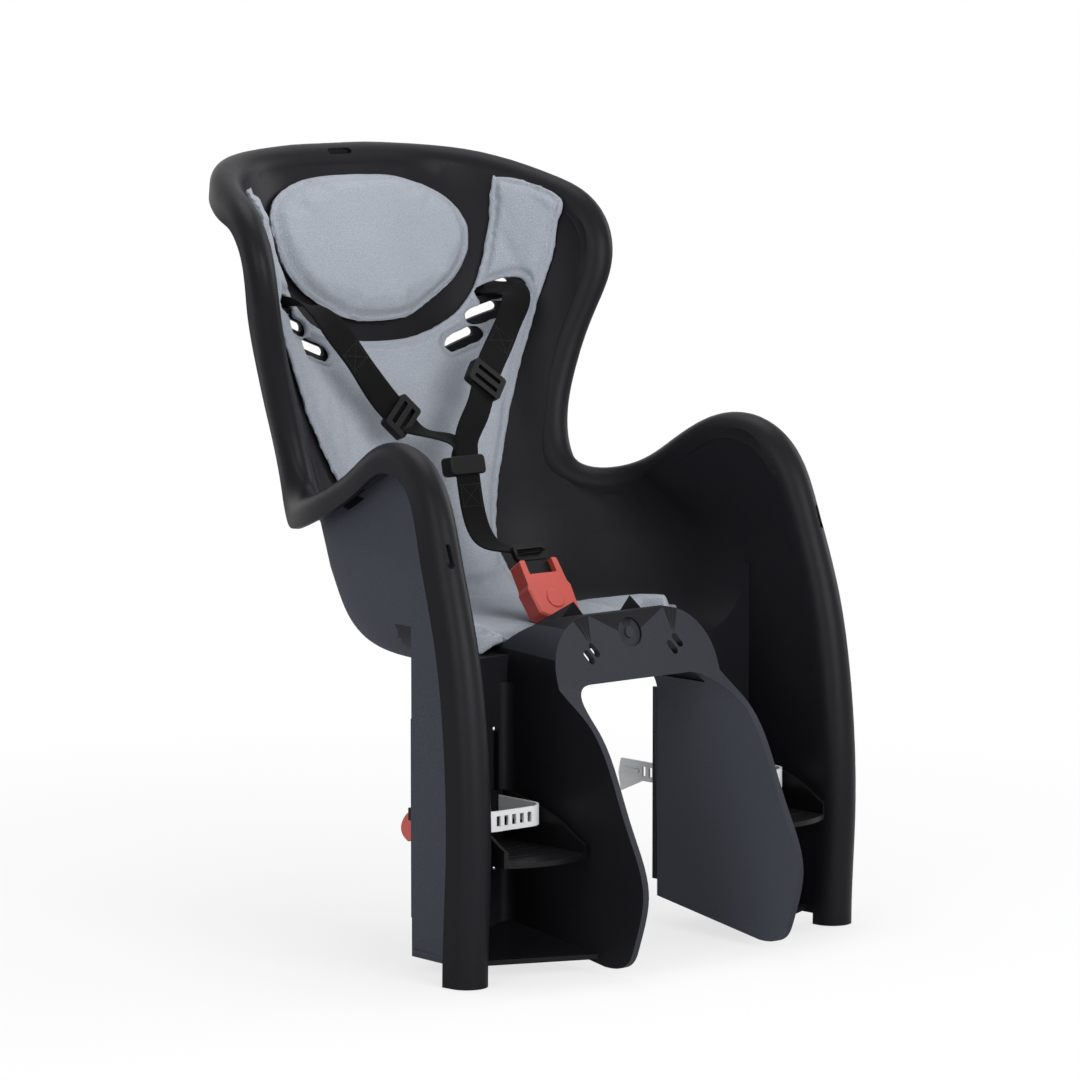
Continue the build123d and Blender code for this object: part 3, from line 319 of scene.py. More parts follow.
print("groups:", moulded_grain.name, foam_grain.name, webbing_weave.name)

# %% [markdown]
# ## Finishes
# The shell is one plastic with two surfaces: satin where the child sits, and a rough grain on the
# outside, which looks greyer because it scatters more light; that greyer look is also painted into a
# lighter base colour, a painted sheen. A point attribute on the shell says which is which. The pads
# are embossed foam, the webbing is black twill, the buckle and the latches are red, and the foot
# straps are a soft light grey plastic.

# %% Finish helpers


def start_finish(name):
    """A material with an empty Principled shader; returns material, tree and shader."""
    material = bpy.data.materials.new(name)
    material.use_nodes = True
    tree = material.node_tree
    shader = tree.nodes["Principled BSDF"]
    return material, tree, shader


def place_group(tree, group, vector, **values):
    """A shared effect in a material, fed with its coordinates and own values."""
    node = tree.nodes.new("ShaderNodeGroup")
    node.node_tree = group
    tree.links.new(vector, node.inputs["Vector"])
    for key, value in values.items():
        node.inputs[key.replace("_", " ")].default_value = value
    return node


def object_vector(tree):
    """Object coordinates, which sit still on every piece."""
    return tree.nodes.new("ShaderNodeTexCoord").outputs["Object"]


def ramp(tree, value, low, high):
    """A colour ramp from low to high, driven by a value socket."""
    node = tree.nodes.new("ShaderNodeValToRGB")
    node.color_ramp.elements[0].color = (*low, 1.0)
    node.color_ramp.elements[1].color = (*high, 1.0)
    tree.links.new(value, node.inputs["Fac"])
    return node


def spread(tree, value, low, high):
    """A value socket from 0..1 stretched to low..high."""
    node = tree.nodes.new("ShaderNodeMapRange")
    node.inputs["To Min"].default_value = low
    node.inputs["To Max"].default_value = high
    tree.links.new(value, node.inputs["Value"])
    return node.outputs["Result"]


def bump(tree, height, strength, distance, shader):
    """A Bump node from a height socket into the shader's normal."""
    node = tree.nodes.new("ShaderNodeBump")
    node.inputs["Strength"].default_value = strength
    node.inputs["Distance"].default_value = distance
    tree.links.new(height, node.inputs["Height"])
    tree.links.new(node.outputs["Normal"], shader.inputs["Normal"])
    return node


# %% Shell finish
shell_finish, tree, shader = start_finish("shell_moulded_black")
shader.inputs["Specular IOR Level"].default_value = 0.09
vector = object_vector(tree)
grain = place_group(tree, moulded_grain, vector, Scale=1100.0)
rough_side_painted_sheen = tree.nodes.new("ShaderNodeAttribute")
rough_side_painted_sheen.attribute_name = "rough_side_painted_sheen"
satin = ramp(tree, grain.outputs["Mottle"], (0.0072, 0.0070, 0.0088), (0.0100, 0.0097, 0.0121))
# The outside tone is lighter than the satin one: real grain, plus a painted sheen for the light it scatters.
textured_painted_sheen = ramp(tree, grain.outputs["Height"], (0.029, 0.031, 0.040), (0.074, 0.079, 0.098))
two_tone = tree.nodes.new("ShaderNodeMix")
two_tone.data_type = "RGBA"
tree.links.new(rough_side_painted_sheen.outputs["Fac"], two_tone.inputs["Factor"])
tree.links.new(satin.outputs["Color"], two_tone.inputs["A"])
tree.links.new(textured_painted_sheen.outputs["Color"], two_tone.inputs["B"])
tree.links.new(two_tone.outputs["Result"], shader.inputs["Base Color"])
satin_rough = spread(tree, grain.outputs["Mottle"], 0.34, 0.46)
gloss = tree.nodes.new("ShaderNodeMix")
tree.links.new(rough_side_painted_sheen.outputs["Fac"], gloss.inputs["Factor"])
tree.links.new(satin_rough, gloss.inputs["A"])
gloss.inputs["B"].default_value = 0.72
tree.links.new(gloss.outputs["Result"], shader.inputs["Roughness"])
strength = maths(tree, "MULTIPLY_ADD", rough_side_painted_sheen.outputs["Fac"], 0.8)
depth = maths(tree, "MULTIPLY", grain.outputs["Height"], strength)
bump(tree, depth, 0.5, 0.0004, shader)

# %% Pad finish
pad_finish, tree, shader = start_finish("pad_embossed_foam")
shader.inputs["Specular IOR Level"].default_value = 0.3
shader.inputs["Sheen Weight"].default_value = 0.15
vector = object_vector(tree)
grain = place_group(tree, foam_grain, vector, Pebble_Scale=480.0)
tint = ramp(tree, grain.outputs["Mottle"], (0.290, 0.314, 0.358), (0.358, 0.385, 0.433))
# The tint is darker in the grooves between the pebbles: painted shade in the grain's hollows.
lines = ramp(tree, grain.outputs["Height"], (0.72, 0.72, 0.74), (1.0, 1.0, 1.0))
shade = tree.nodes.new("ShaderNodeMix")
shade.data_type = "RGBA"
shade.blend_type = "MULTIPLY"
shade.inputs["Factor"].default_value = 0.5
tree.links.new(tint.outputs["Color"], shade.inputs["A"])
tree.links.new(lines.outputs["Color"], shade.inputs["B"])
tree.links.new(shade.outputs["Result"], shader.inputs["Base Color"])
tree.links.new(spread(tree, grain.outputs["Height"], 0.78, 0.58), shader.inputs["Roughness"])
relief = maths(tree, "ADD", grain.outputs["Height"], maths(tree, "MULTIPLY", grain.outputs["Crease"], 1.6))
bump(tree, relief, 0.55, 0.0006, shader)

# %% Webbing finish
webbing_finish, tree, shader = start_finish("webbing_black_twill")
shader.inputs["Specular IOR Level"].default_value = 0.06
shader.inputs["Sheen Weight"].default_value = 0.01
weave_map = tree.nodes.new("ShaderNodeUVMap")
weave_map.uv_map = "weave"
weave = place_group(tree, webbing_weave, weave_map.outputs["UV"], Ribs=520.0, Picks=620.0)
# The colour is darker where ribs and picks dip between yarns: painted shade in the weave's hollows.
colour = ramp(tree, weave.outputs["Shade"], (0.0015, 0.0015, 0.0018), (0.0085, 0.0085, 0.0095))
colour.color_ramp.elements[1].position = 0.25
tree.links.new(colour.outputs["Color"], shader.inputs["Base Color"])
tree.links.new(spread(tree, weave.outputs["Shade"], 0.75, 0.55), shader.inputs["Roughness"])
bump(tree, weave.outputs["Height"], 0.7, 0.0005, shader)

# %% Small plastic finishes


def plastic_finish(name, dark, light, roughness, grain_scale, relief, specular=0.45):
    """A moulded plastic: two close tones, fine grain and a roughness that varies a little."""
    material, tree, shader = start_finish(name)
    shader.inputs["Specular IOR Level"].default_value = specular
    grain = place_group(tree, moulded_grain, object_vector(tree), Scale=grain_scale)
    tone = ramp(tree, grain.outputs["Mottle"], dark, light)
    tree.links.new(tone.outputs["Color"], shader.inputs["Base Color"])
    tree.links.new(spread(tree, grain.outputs["Mottle"], *roughness), shader.inputs["Roughness"])
    bump(tree, grain.outputs["Height"], relief, 0.0003, shader)
    return material


black_finish = plastic_finish(
    "fitting_black", (0.003, 0.003, 0.0036), (0.006, 0.006, 0.007), (0.32, 0.45), 1300.0, 0.3, specular=0.14
)
red_finish = plastic_finish(
    "buckle_red", (0.42, 0.060, 0.045), (0.54, 0.085, 0.066), (0.28, 0.42), 1500.0, 0.15
)
pale_finish = plastic_finish(
    "strap_pale_grey", (0.66, 0.67, 0.68), (0.80, 0.81, 0.82), (0.40, 0.52), 1200.0, 0.25
)

steel_finish, tree, shader = start_finish("zinc_steel")
shader.inputs["Metallic"].default_value = 1.0
grain = place_group(tree, moulded_grain, object_vector(tree), Scale=700.0)
zinc = ramp(tree, grain.outputs["Mottle"], (0.46, 0.47, 0.48), (0.62, 0.62, 0.63))
tree.links.new(zinc.outputs["Color"], shader.inputs["Base Color"])
tree.links.new(spread(tree, grain.outputs["Height"], 0.28, 0.46), shader.inputs["Roughness"])
bump(tree, grain.outputs["Height"], 0.15, 0.0002, shader)
print("finishes:", [m.name for m in bpy.data.materials])

# %% [markdown]
# ## Hard pieces
# The small fittings keep their CAD shape. Each gets the finish of its slot in the record.

# %% Finish the CAD nodes
SLOT_FINISH = {
    "shell_plastic": shell_finish,
    "pad_foam": pad_finish,
    "webbing": webbing_finish,
    "black_plastic": black_finish,
    "red_plastic": red_finish,
    "strap_plastic": pale_finish,
    "steel": steel_finish,
}
for entry in frame["record"]["subparts"]:
    piece = nodes[entry["node"]]
    piece.data.materials.clear()
    piece.data.materials.append(SLOT_FINISH[entry["material_slot"]])

# %% [markdown]
# ## Shell
# The CAD mesh is loose triangles, so a copy is merged and shaded smoothly up to a corner angle.
# A ray from each face along its normal says whether the face looks into the seat or away from it;
# faces that look away get the rough outside grain and a lighter base colour, which is painted sheen,
# and so do the sides of the arch.

# %% Merged copy


def merged_copy(node, name):
    """A copy of a CAD node's mesh with shared corners and plain normals, as a new object."""
    mesh = nodes[node].data.copy()
    mesh.name = name
    if "custom_normal" in mesh.attributes:
        mesh.attributes.remove(mesh.attributes["custom_normal"])
    work = bmesh.new()
    work.from_mesh(mesh)
    bmesh.ops.remove_doubles(work, verts=work.verts, dist=2e-6)
    work.to_mesh(mesh)
    work.free()
    piece = bpy.data.objects.new(name, mesh)
    scene.collection.objects.link(piece)
    return piece


CORNER = math.radians(38)
shell = merged_copy("seat_shell", "moulded_shell")
shell.data.shade_smooth()
shell.data.set_sharp_from_angle(angle=CORNER)
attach(shell, "seat")
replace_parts(shell, "seat_shell")
print("shell:", len(shell.data.polygons), "faces")

# %% Rough outside of the shell, with its painted sheen
BELLY_LEVEL = 0.005
UNDER_LEVEL = 0.055
ARCH_HALF = 0.0825
FIN_OUTSIDE = 0.0870
WALL_SKIN = 0.00435
RAY_START = 0.0005
VOTES = 4
ALIKE = math.cos(math.radians(7))
SKIN_MOST = 0.0055
ROLL_REACH = 0.040
ISLAND = 4e-4
shell_tree = bvhtree.BVHTree.FromPolygons(
    [v.co.copy() for v in shell.data.vertices], [tuple(p.vertices) for p in shell.data.polygons]
)


def skin_behind(face):
    """(thickness, rolled): how thick the wall is behind a face, and whether another wall follows.

    The thickness is 0 where another wall meets this one. The rolled rim hides a wall behind it."""
    inward = -face.normal
    hit = shell_tree.ray_cast(face.center + inward * RAY_START, inward, SKIN_MOST)
    if hit[0] is None:
        return 0.0, False
    beyond = shell_tree.ray_cast(hit[0] + inward * RAY_START, inward, ROLL_REACH)
    return hit[3] + RAY_START, beyond[0] is not None


def face_pairs(mesh):
    """The faces that share an edge, two in each row."""
    beside = {}
    for face in mesh.polygons:
        for key in face.edge_keys:
            beside.setdefault(key, []).append(face.index)
    return np.array([pair for pair in beside.values() if len(pair) == 2])


def voted(thin, known, mesh, links):
    """Each face's yes or no settled by the area of its neighbours that look the same way."""
    normals = np.array([face.normal for face in mesh.polygons])
    alike = (normals[links[:, 0]] * normals[links[:, 1]]).sum(axis=1) > ALIKE
    one, two = links[alike].T
    areas = np.array([face.area for face in mesh.polygons])
    weight = np.where(known, areas, 0.0)
    for _ in range(VOTES):
        yes, share = thin * weight, weight.copy()
        np.add.at(yes, one, thin[two] * weight[two])
        np.add.at(yes, two, thin[one] * weight[one])
        np.add.at(share, one, weight[two])
        np.add.at(share, two, weight[one])
        thin = np.where(yes > 0.5 * share, 1.0, 0.0)
        weight = np.where(share > 0, areas, 0.0)
    return thin


def outward(face):
    """The direction away from the seat's own middle, or from the leg channel's."""
    spot = face.center
    if spot.z < BELLY_LEVEL:
        return Vector((math.copysign(1.0, spot.x), 0.35, 0.0)).normalized()
    lean_back = 0.35 * (spot.z - 0.07)
    return Vector((spot.x, spot.y + 0.02 - lean_back, 0.0)).normalized()


def grain_and_sheen_share(face, thin):
    """1 on the grained outside and in the arch, part of that on the bridge, 0 on satin faces; the share also
    sets the painted sheen, a lighter base colour.
    """
    spot, normal = face.center, face.normal
    side = math.copysign(1.0, spot.x)
    fin_edge = abs(spot.x) < FIN_OUTSIDE and abs(normal.x) < 0.5 and normal.z < 0.9
    if (abs(spot.x) < ARCH_HALF or fin_edge) and spot.z < 0.03 and spot.y < -0.08:
        return 1.0 if normal.x * side < -0.5 else 0.4
    if spot.z < BELLY_LEVEL and normal.y > 0.5 and spot.y > -0.0835:
        return 1.0
    if spot.y > -0.05 and spot.z < UNDER_LEVEL:
        round_about = Vector((spot.x, spot.y + 0.02, 0.0)).normalized()
        return 1.0 if normal.dot(round_about) > 0.1 or normal.z < -0.5 else 0.0
    if spot.z < BELLY_LEVEL and abs(spot.x) < 0.15:
        return 0.0
    if normal.dot(outward(face)) < 0.2 and normal.z > -0.6:
        return 0.0
    return float(thin)


def without_islands(marks, mesh, links):
    """The marks without rough islands smaller than ISLAND, which are slips of the rays."""
    beside = {}
    for one, two in links:
        beside.setdefault(one, []).append(two)
        beside.setdefault(two, []).append(one)
    waiting = {index for index, mark in enumerate(marks) if mark > 0.5}
    while waiting:
        island, queue = [], [waiting.pop()]
        while queue:
            island.append(queue.pop())
            fresh = [index for index in beside.get(island[-1], ()) if index in waiting]
            waiting.difference_update(fresh)
            queue += fresh
        if sum(mesh.polygons[index].area for index in island) < ISLAND:
            for index in island:
                marks[index] = 0.0
    return marks


shell_links = face_pairs(shell.data)
skins = np.array([skin_behind(face) for face in shell.data.polygons])
is_wall = (skins[:, 0] < WALL_SKIN) & (skins[:, 1] == 0)
wall_like = voted(np.where(is_wall, 1.0, 0.0), skins[:, 0] > 0, shell.data, shell_links)
# The attribute gives the rough grain and the painted sheen, a lighter base colour, on the same faces.
rough = shell.data.attributes.new("rough_side_painted_sheen", "FLOAT", "FACE")
marks = [grain_and_sheen_share(face, thin) for face, thin in zip(shell.data.polygons, wall_like)]
marks = without_islands(marks, shell.data, shell_links)
rough.data.foreach_set("value", marks)
print("rough faces:", int(sum(marks)), "of", len(marks))

# %% [markdown]
# ## Fittings
# A mould leaves a small radius on every edge, and the thin line of light along it is what tells
# moulded plastic from a drawing. CAD edges are sharp, so each fitting gets a copy whose flat faces
# are joined again and whose edges are rounded by a Bevel modifier. A Bevel shader node would look
# the same in this picture, but an exported model loses it.

# %% Rounded edges
MOULD_TURN = math.radians(30)
FLAT_TURN = math.radians(0.4)
MOULD_RADIUS = {
    "buckle_body": 0.0006, "buckle_button": 0.0010, "buckle_tongue": 0.0007, "strap_joiner": 0.0008,
    "adjuster": 0.0006, "footrest": 0.0007, "slider": 0.0006, "latch": 0.0009, "catch": 0.0008,
    "foot_strap": 0.0004,
}
BODY_OF = {node: body for body, held in frame["record"]["behaviour"]["bodies"].items() for node in held}
SLOT_OF = {entry["node"]: entry["material_slot"] for entry in frame["record"]["subparts"]}


def plain_mesh(piece, name):
    """The evaluated shape of a piece as a plain mesh, with its modifiers gone."""
    graph = bpy.context.evaluated_depsgraph_get()
    mesh = bpy.data.meshes.new_from_object(piece.evaluated_get(graph))
    mesh.name = name
    piece.modifiers.clear()
    piece.data = mesh
    return mesh


def rounded_fitting(node, radius):
    """A copy of a CAD fitting with a mould radius on its edges, in place of the node."""
    piece = merged_copy(node, node + "_moulded")
    work = bmesh.new()
    work.from_mesh(piece.data)
    bmesh.ops.dissolve_limit(work, angle_limit=FLAT_TURN, verts=work.verts, edges=work.edges)
    work.to_mesh(piece.data)
    work.free()
    edge = piece.modifiers.new("mould_radius", "BEVEL")
    edge.width = radius
    edge.segments = 2
    edge.limit_method = "ANGLE"
    edge.angle_limit = MOULD_TURN
    edge.harden_normals = True
    piece.data.shade_smooth()
    plain_mesh(piece, piece.name)
    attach(piece, BODY_OF[node])
    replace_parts(piece, node)
    return piece


for node in sorted(SLOT_OF):
    kind = node.removeprefix("right_").removeprefix("left_")
    if kind in MOULD_RADIUS:
        fitting = rounded_fitting(node, MOULD_RADIUS[kind])
        print(fitting.name, len(fitting.data.polygons), "faces")

# %% [markdown]
# ## Pads
# On the real seat each pad is a sheet of foam under a thin skin, pressed in a hot mould, so its
# edge is a low welded rim with a groove inside it, and the middle swells. A sculpted shape would
# do, but a cloth simulation gives the soft crown without guessing: the CAD solid is remeshed, the
# side on the shell is pinned, and air pressure lifts the free side. The rim is pressed in after
# that, by the distance of each point from the edge of the pad.

# %% Pad helpers
PAD_VOXEL = 0.004
PAD_CAP = 0.0050
PAD_LIFT = 0.0004
SKIN_HEIGHT = 0.0085
SHARP_TURN = math.radians(42)
EDGE_STEP = 0.004
GLUED = 0.0025
PRESSURE = 4.0
RIM_WIDTH = 0.0034
GROOVE_AT = 0.0048
CROWN_AT = 0.0105
STRIP_CUTS = (((0.0835, 0.119), (0.1470, 0.303), 0.119), ((0.1470, 0.303), (0.1523, 0.335), 0.269))
FAIR_LEAST = 0.15
FAIR_STEPS = 30


def remeshed(piece):
    """Even quads all over, which cloth needs."""
    voxels = piece.modifiers.new("voxels", "REMESH")
    voxels.mode = "VOXEL"
    voxels.voxel_size = PAD_VOXEL
    even = piece.modifiers.new("even", "SMOOTH")
    even.factor = 0.5
    even.iterations = 3
    plain_mesh(piece, piece.name)


def blown_up(piece, carrier):
    """Air pressure lifts the free side; points near the carrier stay where they are."""
    rest = [v.co.copy() for v in piece.data.vertices]
    glued = piece.vertex_groups.new(name="glued")
    glued.add([i for i, co in enumerate(rest) if carrier.find_nearest(co)[3] < GLUED], 1.0, "REPLACE")
    cloth = piece.modifiers.new("foam_skin", "CLOTH")
    cloth.settings.quality = 4
    cloth.settings.mass = 0.3
    cloth.settings.tension_stiffness = 25.0
    cloth.settings.compression_stiffness = 25.0
    cloth.settings.use_pressure = True
    cloth.settings.uniform_pressure_force = PRESSURE
    cloth.settings.vertex_group_mass = glued.name
    cloth.settings.effector_weights.gravity = 0.0
    for step in range(1, 21):
        scene.frame_set(step)
    graph = bpy.context.evaluated_depsgraph_get()
    swollen = [v.co.copy() for v in piece.evaluated_get(graph).data.vertices]
    piece.modifiers.clear()
    piece.vertex_groups.clear()
    scene.frame_set(1)
    moves = [b - a for a, b in zip(rest, swollen)]
    for vertex, start, move in zip(piece.data.vertices, rest, moves):
        vertex.co = start + move * min(1.0, PAD_CAP / max(move.length, 1e-9))
    most = max(move.length for move in moves)
    print("cloth on", piece.name, "lifted points by up to", round(most * 1000, 1), "mm")


def smooth_run(points, knots, spots):
    """A natural cubic through the points, read at the spots."""
    points = np.array(points, dtype=float)
    gaps = np.diff(knots)
    count = len(knots)
    system = np.eye(count)
    bends = np.zeros_like(points)
    for i in range(1, count - 1):
        system[i, i - 1:i + 2] = gaps[i - 1], 2 * (gaps[i - 1] + gaps[i]), gaps[i]
        bends[i] = 6 * ((points[i + 1] - points[i]) / gaps[i] - (points[i] - points[i - 1]) / gaps[i - 1])
    bends = np.linalg.solve(system, bends)
    piece = np.clip(np.searchsorted(knots, spots, side="right") - 1, 0, count - 2)
    gap = gaps[piece][:, None]
    after = (spots - knots[piece])[:, None] / gap
    before = 1 - after
    curve = (before ** 3 - before) * bends[piece] + (after ** 3 - after) * bends[piece + 1]
    return before * points[piece] + after * points[piece + 1] + curve * gap ** 2 / 6


def trimmed_strips(work):
    """Cuts the outer edges of the side strips to the straight line that the photo shows."""
    for side in (1.0, -1.0):
        for (near_x, near_z), (far_x, far_z), floor in STRIP_CUTS:
            everything = [*work.verts, *work.edges, *work.faces]
            level = (Vector((0.0, 0.0, floor)), Vector((0.0, 0.0, 1.0)))
            bmesh.ops.bisect_plane(work, geom=everything, plane_co=level[0], plane_no=level[1])
            strip = set()
            for face in work.faces:
                middle = face.calc_center_median()
                if middle.z > floor and middle.x * side > 0:
                    strip.update((face, *face.edges, *face.verts))
            outer = Vector((side * (far_z - near_z), 0.0, near_x - far_x)).normalized()
            spot = Vector((side * near_x, 0.0, near_z))
            bmesh.ops.bisect_plane(work, geom=list(strip), plane_co=spot, plane_no=outer, clear_outer=True)
    bmesh.ops.remove_doubles(work, verts=work.verts, dist=0.0006)


def edge_loops(work):
    """Each closed run along the edge of a skin, as its points and the edges between them."""
    beside = {}
    for edge in work.edges:
        if edge.is_boundary:
            for vert in edge.verts:
                beside.setdefault(vert, []).append(edge)
    waiting = {vert for vert, edges in beside.items() if len(edges) == 2}
    runs = []
    while waiting:
        first = waiting.pop()
        loop, edge = [first], beside[first][0]
        links = []
        while True:
            links.append(edge)
            vert = edge.other_vert(loop[-1])
            if vert is first or vert not in waiting:
                break
            waiting.discard(vert)
            loop.append(vert)
            edge = beside[vert][1] if beside[vert][0] is edge else beside[vert][0]
        if len(loop) >= 6:
            runs.append((loop, links))
    return runs


def edge_turns(spots):
    """How far a closed run of points turns at each of them."""
    count = len(spots)
    return [(spots[i] - spots[i - 1]).angle(spots[(i + 1) % count] - spots[i], 0.0) for i in range(count)]


def faired_edge(work):
    """Evens out the long edges of a skin; corners and strap slots stay as they are."""
    for loop, links in edge_loops(work):
        if sum(link.calc_length() for link in links) < FAIR_LEAST:
            continue
        turns = edge_turns([v.co for v in loop])
        free = np.array([turn <= SHARP_TURN for turn in turns])[:, None]
        spots = np.array([tuple(v.co) for v in loop])
        for _ in range(FAIR_STEPS):
            middle = (np.roll(spots, 1, axis=0) + np.roll(spots, -1, axis=0)) / 2
            spots = spots + np.where(free, (middle - spots) / 2, 0.0)
        for vert, spot in zip(loop, spots):
            vert.co = Vector(spot)


def rounded_edge(work):
    """Splits the straight CAD facets along the edge of a skin and bends them to a smooth line."""
    for loop, links in edge_loops(work):
        count = len(loop)
        spots = [v.co.copy() for v in loop]
        turns = edge_turns(spots)
        corners = [i for i, turn in enumerate(turns) if turn > SHARP_TURN] or [0]
        for this, after in zip(corners, corners[1:] + [corners[0] + count]):
            lead = 3 if len(corners) == 1 and turns[corners[0]] <= SHARP_TURN else 0
            run = [spots[i % count] for i in range(this - lead, after + lead + 1)]
            knots = np.concatenate(([0.0], np.cumsum([(b - a).length for a, b in zip(run, run[1:])])))
            for step in range(after - this):
                link = links[(this + step) % count]
                start, close = knots[lead + step], knots[lead + step + 1]
                pieces = max(1, math.ceil((close - start) / EDGE_STEP))
                reads = start + (close - start) * np.arange(1, pieces) / pieces
                if len(run) < 4 or pieces < 2:
                    continue
                bent = smooth_run([tuple(p) for p in run], knots, reads)
                vert = loop[(this + step) % count]
                for place, spot in enumerate(bent):
                    link, fresh = bmesh.utils.edge_split(link, vert, 1.0 / (pieces - place))
                    if link.other_vert(fresh) is vert:
                        link = next(e for e in fresh.link_edges if e.is_boundary and e is not link)
                    fresh.co = Vector(spot)
                    vert = fresh


def pad_blank(node, name, carrier):
    """The pad's upper skin from the CAD, closed by a copy of itself laid on the carrier.

    Returns the closed piece and a tree of points every 2 mm along the edge of the skin."""
    work = bmesh.new()
    source = merged_copy(node, "pad_source")
    work.from_mesh(source.data)
    bpy.data.objects.remove(source)
    hidden = []
    for face in work.faces:
        middle = face.calc_center_median()
        foot = carrier.find_nearest(middle)[0]
        rise = middle - foot
        if rise.length < SKIN_HEIGHT or face.normal.dot(rise.normalized()) < 0.55:
            hidden.append(face)
    bmesh.ops.delete(work, geom=hidden, context="FACES")
    if node == "back_pad":
        trimmed_strips(work)
    rounded_edge(work)
    faired_edge(work)
    bmesh.ops.triangulate(work, faces=work.faces)
    spots = []
    for edge in work.edges:
        if edge.is_boundary:
            count = max(1, math.ceil(edge.calc_length() / 0.002))
            spots += [edge.verts[0].co.lerp(edge.verts[1].co, i / count) for i in range(count + 1)]
    tops, rims = list(work.faces), [e for e in work.edges if e.is_boundary]
    laid = {}
    for vert in list(work.verts):
        foot = carrier.find_nearest(vert.co)[0]
        laid[vert] = work.verts.new(foot + (vert.co - foot).normalized() * PAD_LIFT)
    for face in tops:
        work.faces.new([laid[v] for v in reversed(face.verts)])
    for edge in rims:
        one, two = edge.verts
        work.faces.new((one, two, laid[two], laid[one]))
    bmesh.ops.recalc_face_normals(work, faces=work.faces)
    mesh = bpy.data.meshes.new(name)
    work.to_mesh(mesh)
    work.free()
    piece = bpy.data.objects.new(name, mesh)
    scene.collection.objects.link(piece)
    edges = kdtree.KDTree(len(spots))
    for index, spot in enumerate(spots):
        edges.insert(spot, index)
    edges.balance()
    return piece, edges


def rim_share(distance):
    """Share of the full height at a distance from the edge: low rim, groove, smooth crown."""
    if distance < RIM_WIDTH:
        return 0.66 - 0.14 * (1 - distance / RIM_WIDTH) ** 2
    if distance < GROOVE_AT:
        return 0.66 - 0.16 * (distance - RIM_WIDTH) / (GROOVE_AT - RIM_WIDTH)
    reach = min(1.0, (distance - GROOVE_AT) / (CROWN_AT - GROOVE_AT))
    return 0.50 + 0.50 * math.sin(reach * math.pi / 2)


def pressed_rim(piece, carrier, edges):
    """Presses the welded rim and its groove into the pad, towards the shell it lies on."""
    for vertex in piece.data.vertices:
        foot = carrier.find_nearest(vertex.co)[0]
        vertex.co = foot + (vertex.co - foot) * rim_share(edges.find(vertex.co)[2])


# %% Make the pads
for node, name in (("back_pad", "back_and_seat_pad"), ("headrest_pad", "headrest_pad_soft")):
    pad, pad_edges = pad_blank(node, name, shell_tree)
    remeshed(pad)
    blown_up(pad, shell_tree)
    finer = pad.modifiers.new("finer", "SUBSURF")
    finer.levels = finer.render_levels = 1
    plain_mesh(pad, name)
    pressed_rim(pad, shell_tree, pad_edges)
    pad.data.materials.clear()
    pad.data.materials.append(pad_finish)
    pad.data.shade_smooth()
    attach(pad, "seat")
    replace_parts(pad, node)
    print(name, len(pad.data.polygons), "faces")

# %% [markdown]
# ## Webbing
# The harness is flat woven tape, 25 mm wide, that bends along its length and twists, but never
# stretches sideways. A curve with a flat bevel could do it, but its twist is hard to steer, so the
# tape is made row by row: each route point also says which way the broad face looks. The tape gets
# its own map in metres, so that the weave keeps its size around every bend.

# %% Tape maker
TO_FRAME = Vector((0.0, -0.140, -0.231))
TAPE_WIDTH = 0.025
TAPE_THICK = 0.0016
TAPE_STEP = 0.0025


def tape_section(width, thick):
    """Flat outline with rounded edges: (across, out of the face) for each corner, around once."""
    half, low = width / 2, thick / 2
    flat = [-0.9, -0.6, -0.3, 0.0, 0.3, 0.6, 0.9]
    upper = [(f * half, low) for f in flat]
    lower = [(f * half, -low) for f in reversed(flat)]
    return upper + [(half * 0.985, low * 0.6), (half, 0.0), (half * 0.985, -low * 0.6)] + lower + [
        (-half * 0.985, -low * 0.6), (-half, 0.0), (-half * 0.985, low * 0.6)]


def tape_run(route, facing):
    """Rows along a tape: (distance, centre, across, out of the face), from the CAD's millimetres."""
    centres = [Vector(p) / 1000 + TO_FRAME for p in route]
    knots = np.concatenate(([0.0], np.cumsum([(b - a).length for a, b in zip(centres, centres[1:])])))
    spots = np.linspace(0.0, knots[-1], max(3, int(knots[-1] / TAPE_STEP)))
    line = [Vector(p) for p in smooth_run([tuple(c) for c in centres], knots, spots)]
    looks = smooth_run(facing, knots, spots)
    last = len(spots) - 1
    rows = []
    for i, spot in enumerate(spots):
        along = (line[min(i + 1, last)] - line[max(i - 1, 0)]).normalized()
        across = Vector(looks[i]).cross(along).normalized()
        rows.append((spot, line[i], across, along.cross(across)))
    return rows


def tape(name, run, width=TAPE_WIDTH, thick=TAPE_THICK):
    """A woven tape along a run, as a closed mesh with a weave map."""
    section = tape_section(width, thick)
    around = len(section)
    work = bmesh.new()
    layer = work.loops.layers.uv.new("weave")
    rows = [
        [work.verts.new(centre + across * u + out * w) for u, w in section] for _, centre, across, out in run
    ]
    for i, (row, after) in enumerate(zip(rows, rows[1:])):
        for j in range(around):
            k = (j + 1) % around
            face = work.faces.new((row[j], row[k], after[k], after[j]))
            for loop, (spot, corner) in zip(face.loops, ((i, j), (i, k), (i + 1, k), (i + 1, j))):
                loop[layer].uv = (section[corner][0], run[spot][0])
    work.faces.new(rows[0])
    work.faces.new(list(reversed(rows[-1])))
    bmesh.ops.recalc_face_normals(work, faces=work.faces)
    mesh = bpy.data.meshes.new(name)
    work.to_mesh(mesh)
    work.free()
    mesh.shade_smooth()
    mesh.set_sharp_from_angle(angle=math.radians(60))
    mesh.materials.append(webbing_finish)
    piece = bpy.data.objects.new(name, mesh)
    scene.collection.objects.link(piece)
    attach(piece, "seat")
    print(name, round(run[-1][0] * 1000), "mm long")
    return piece


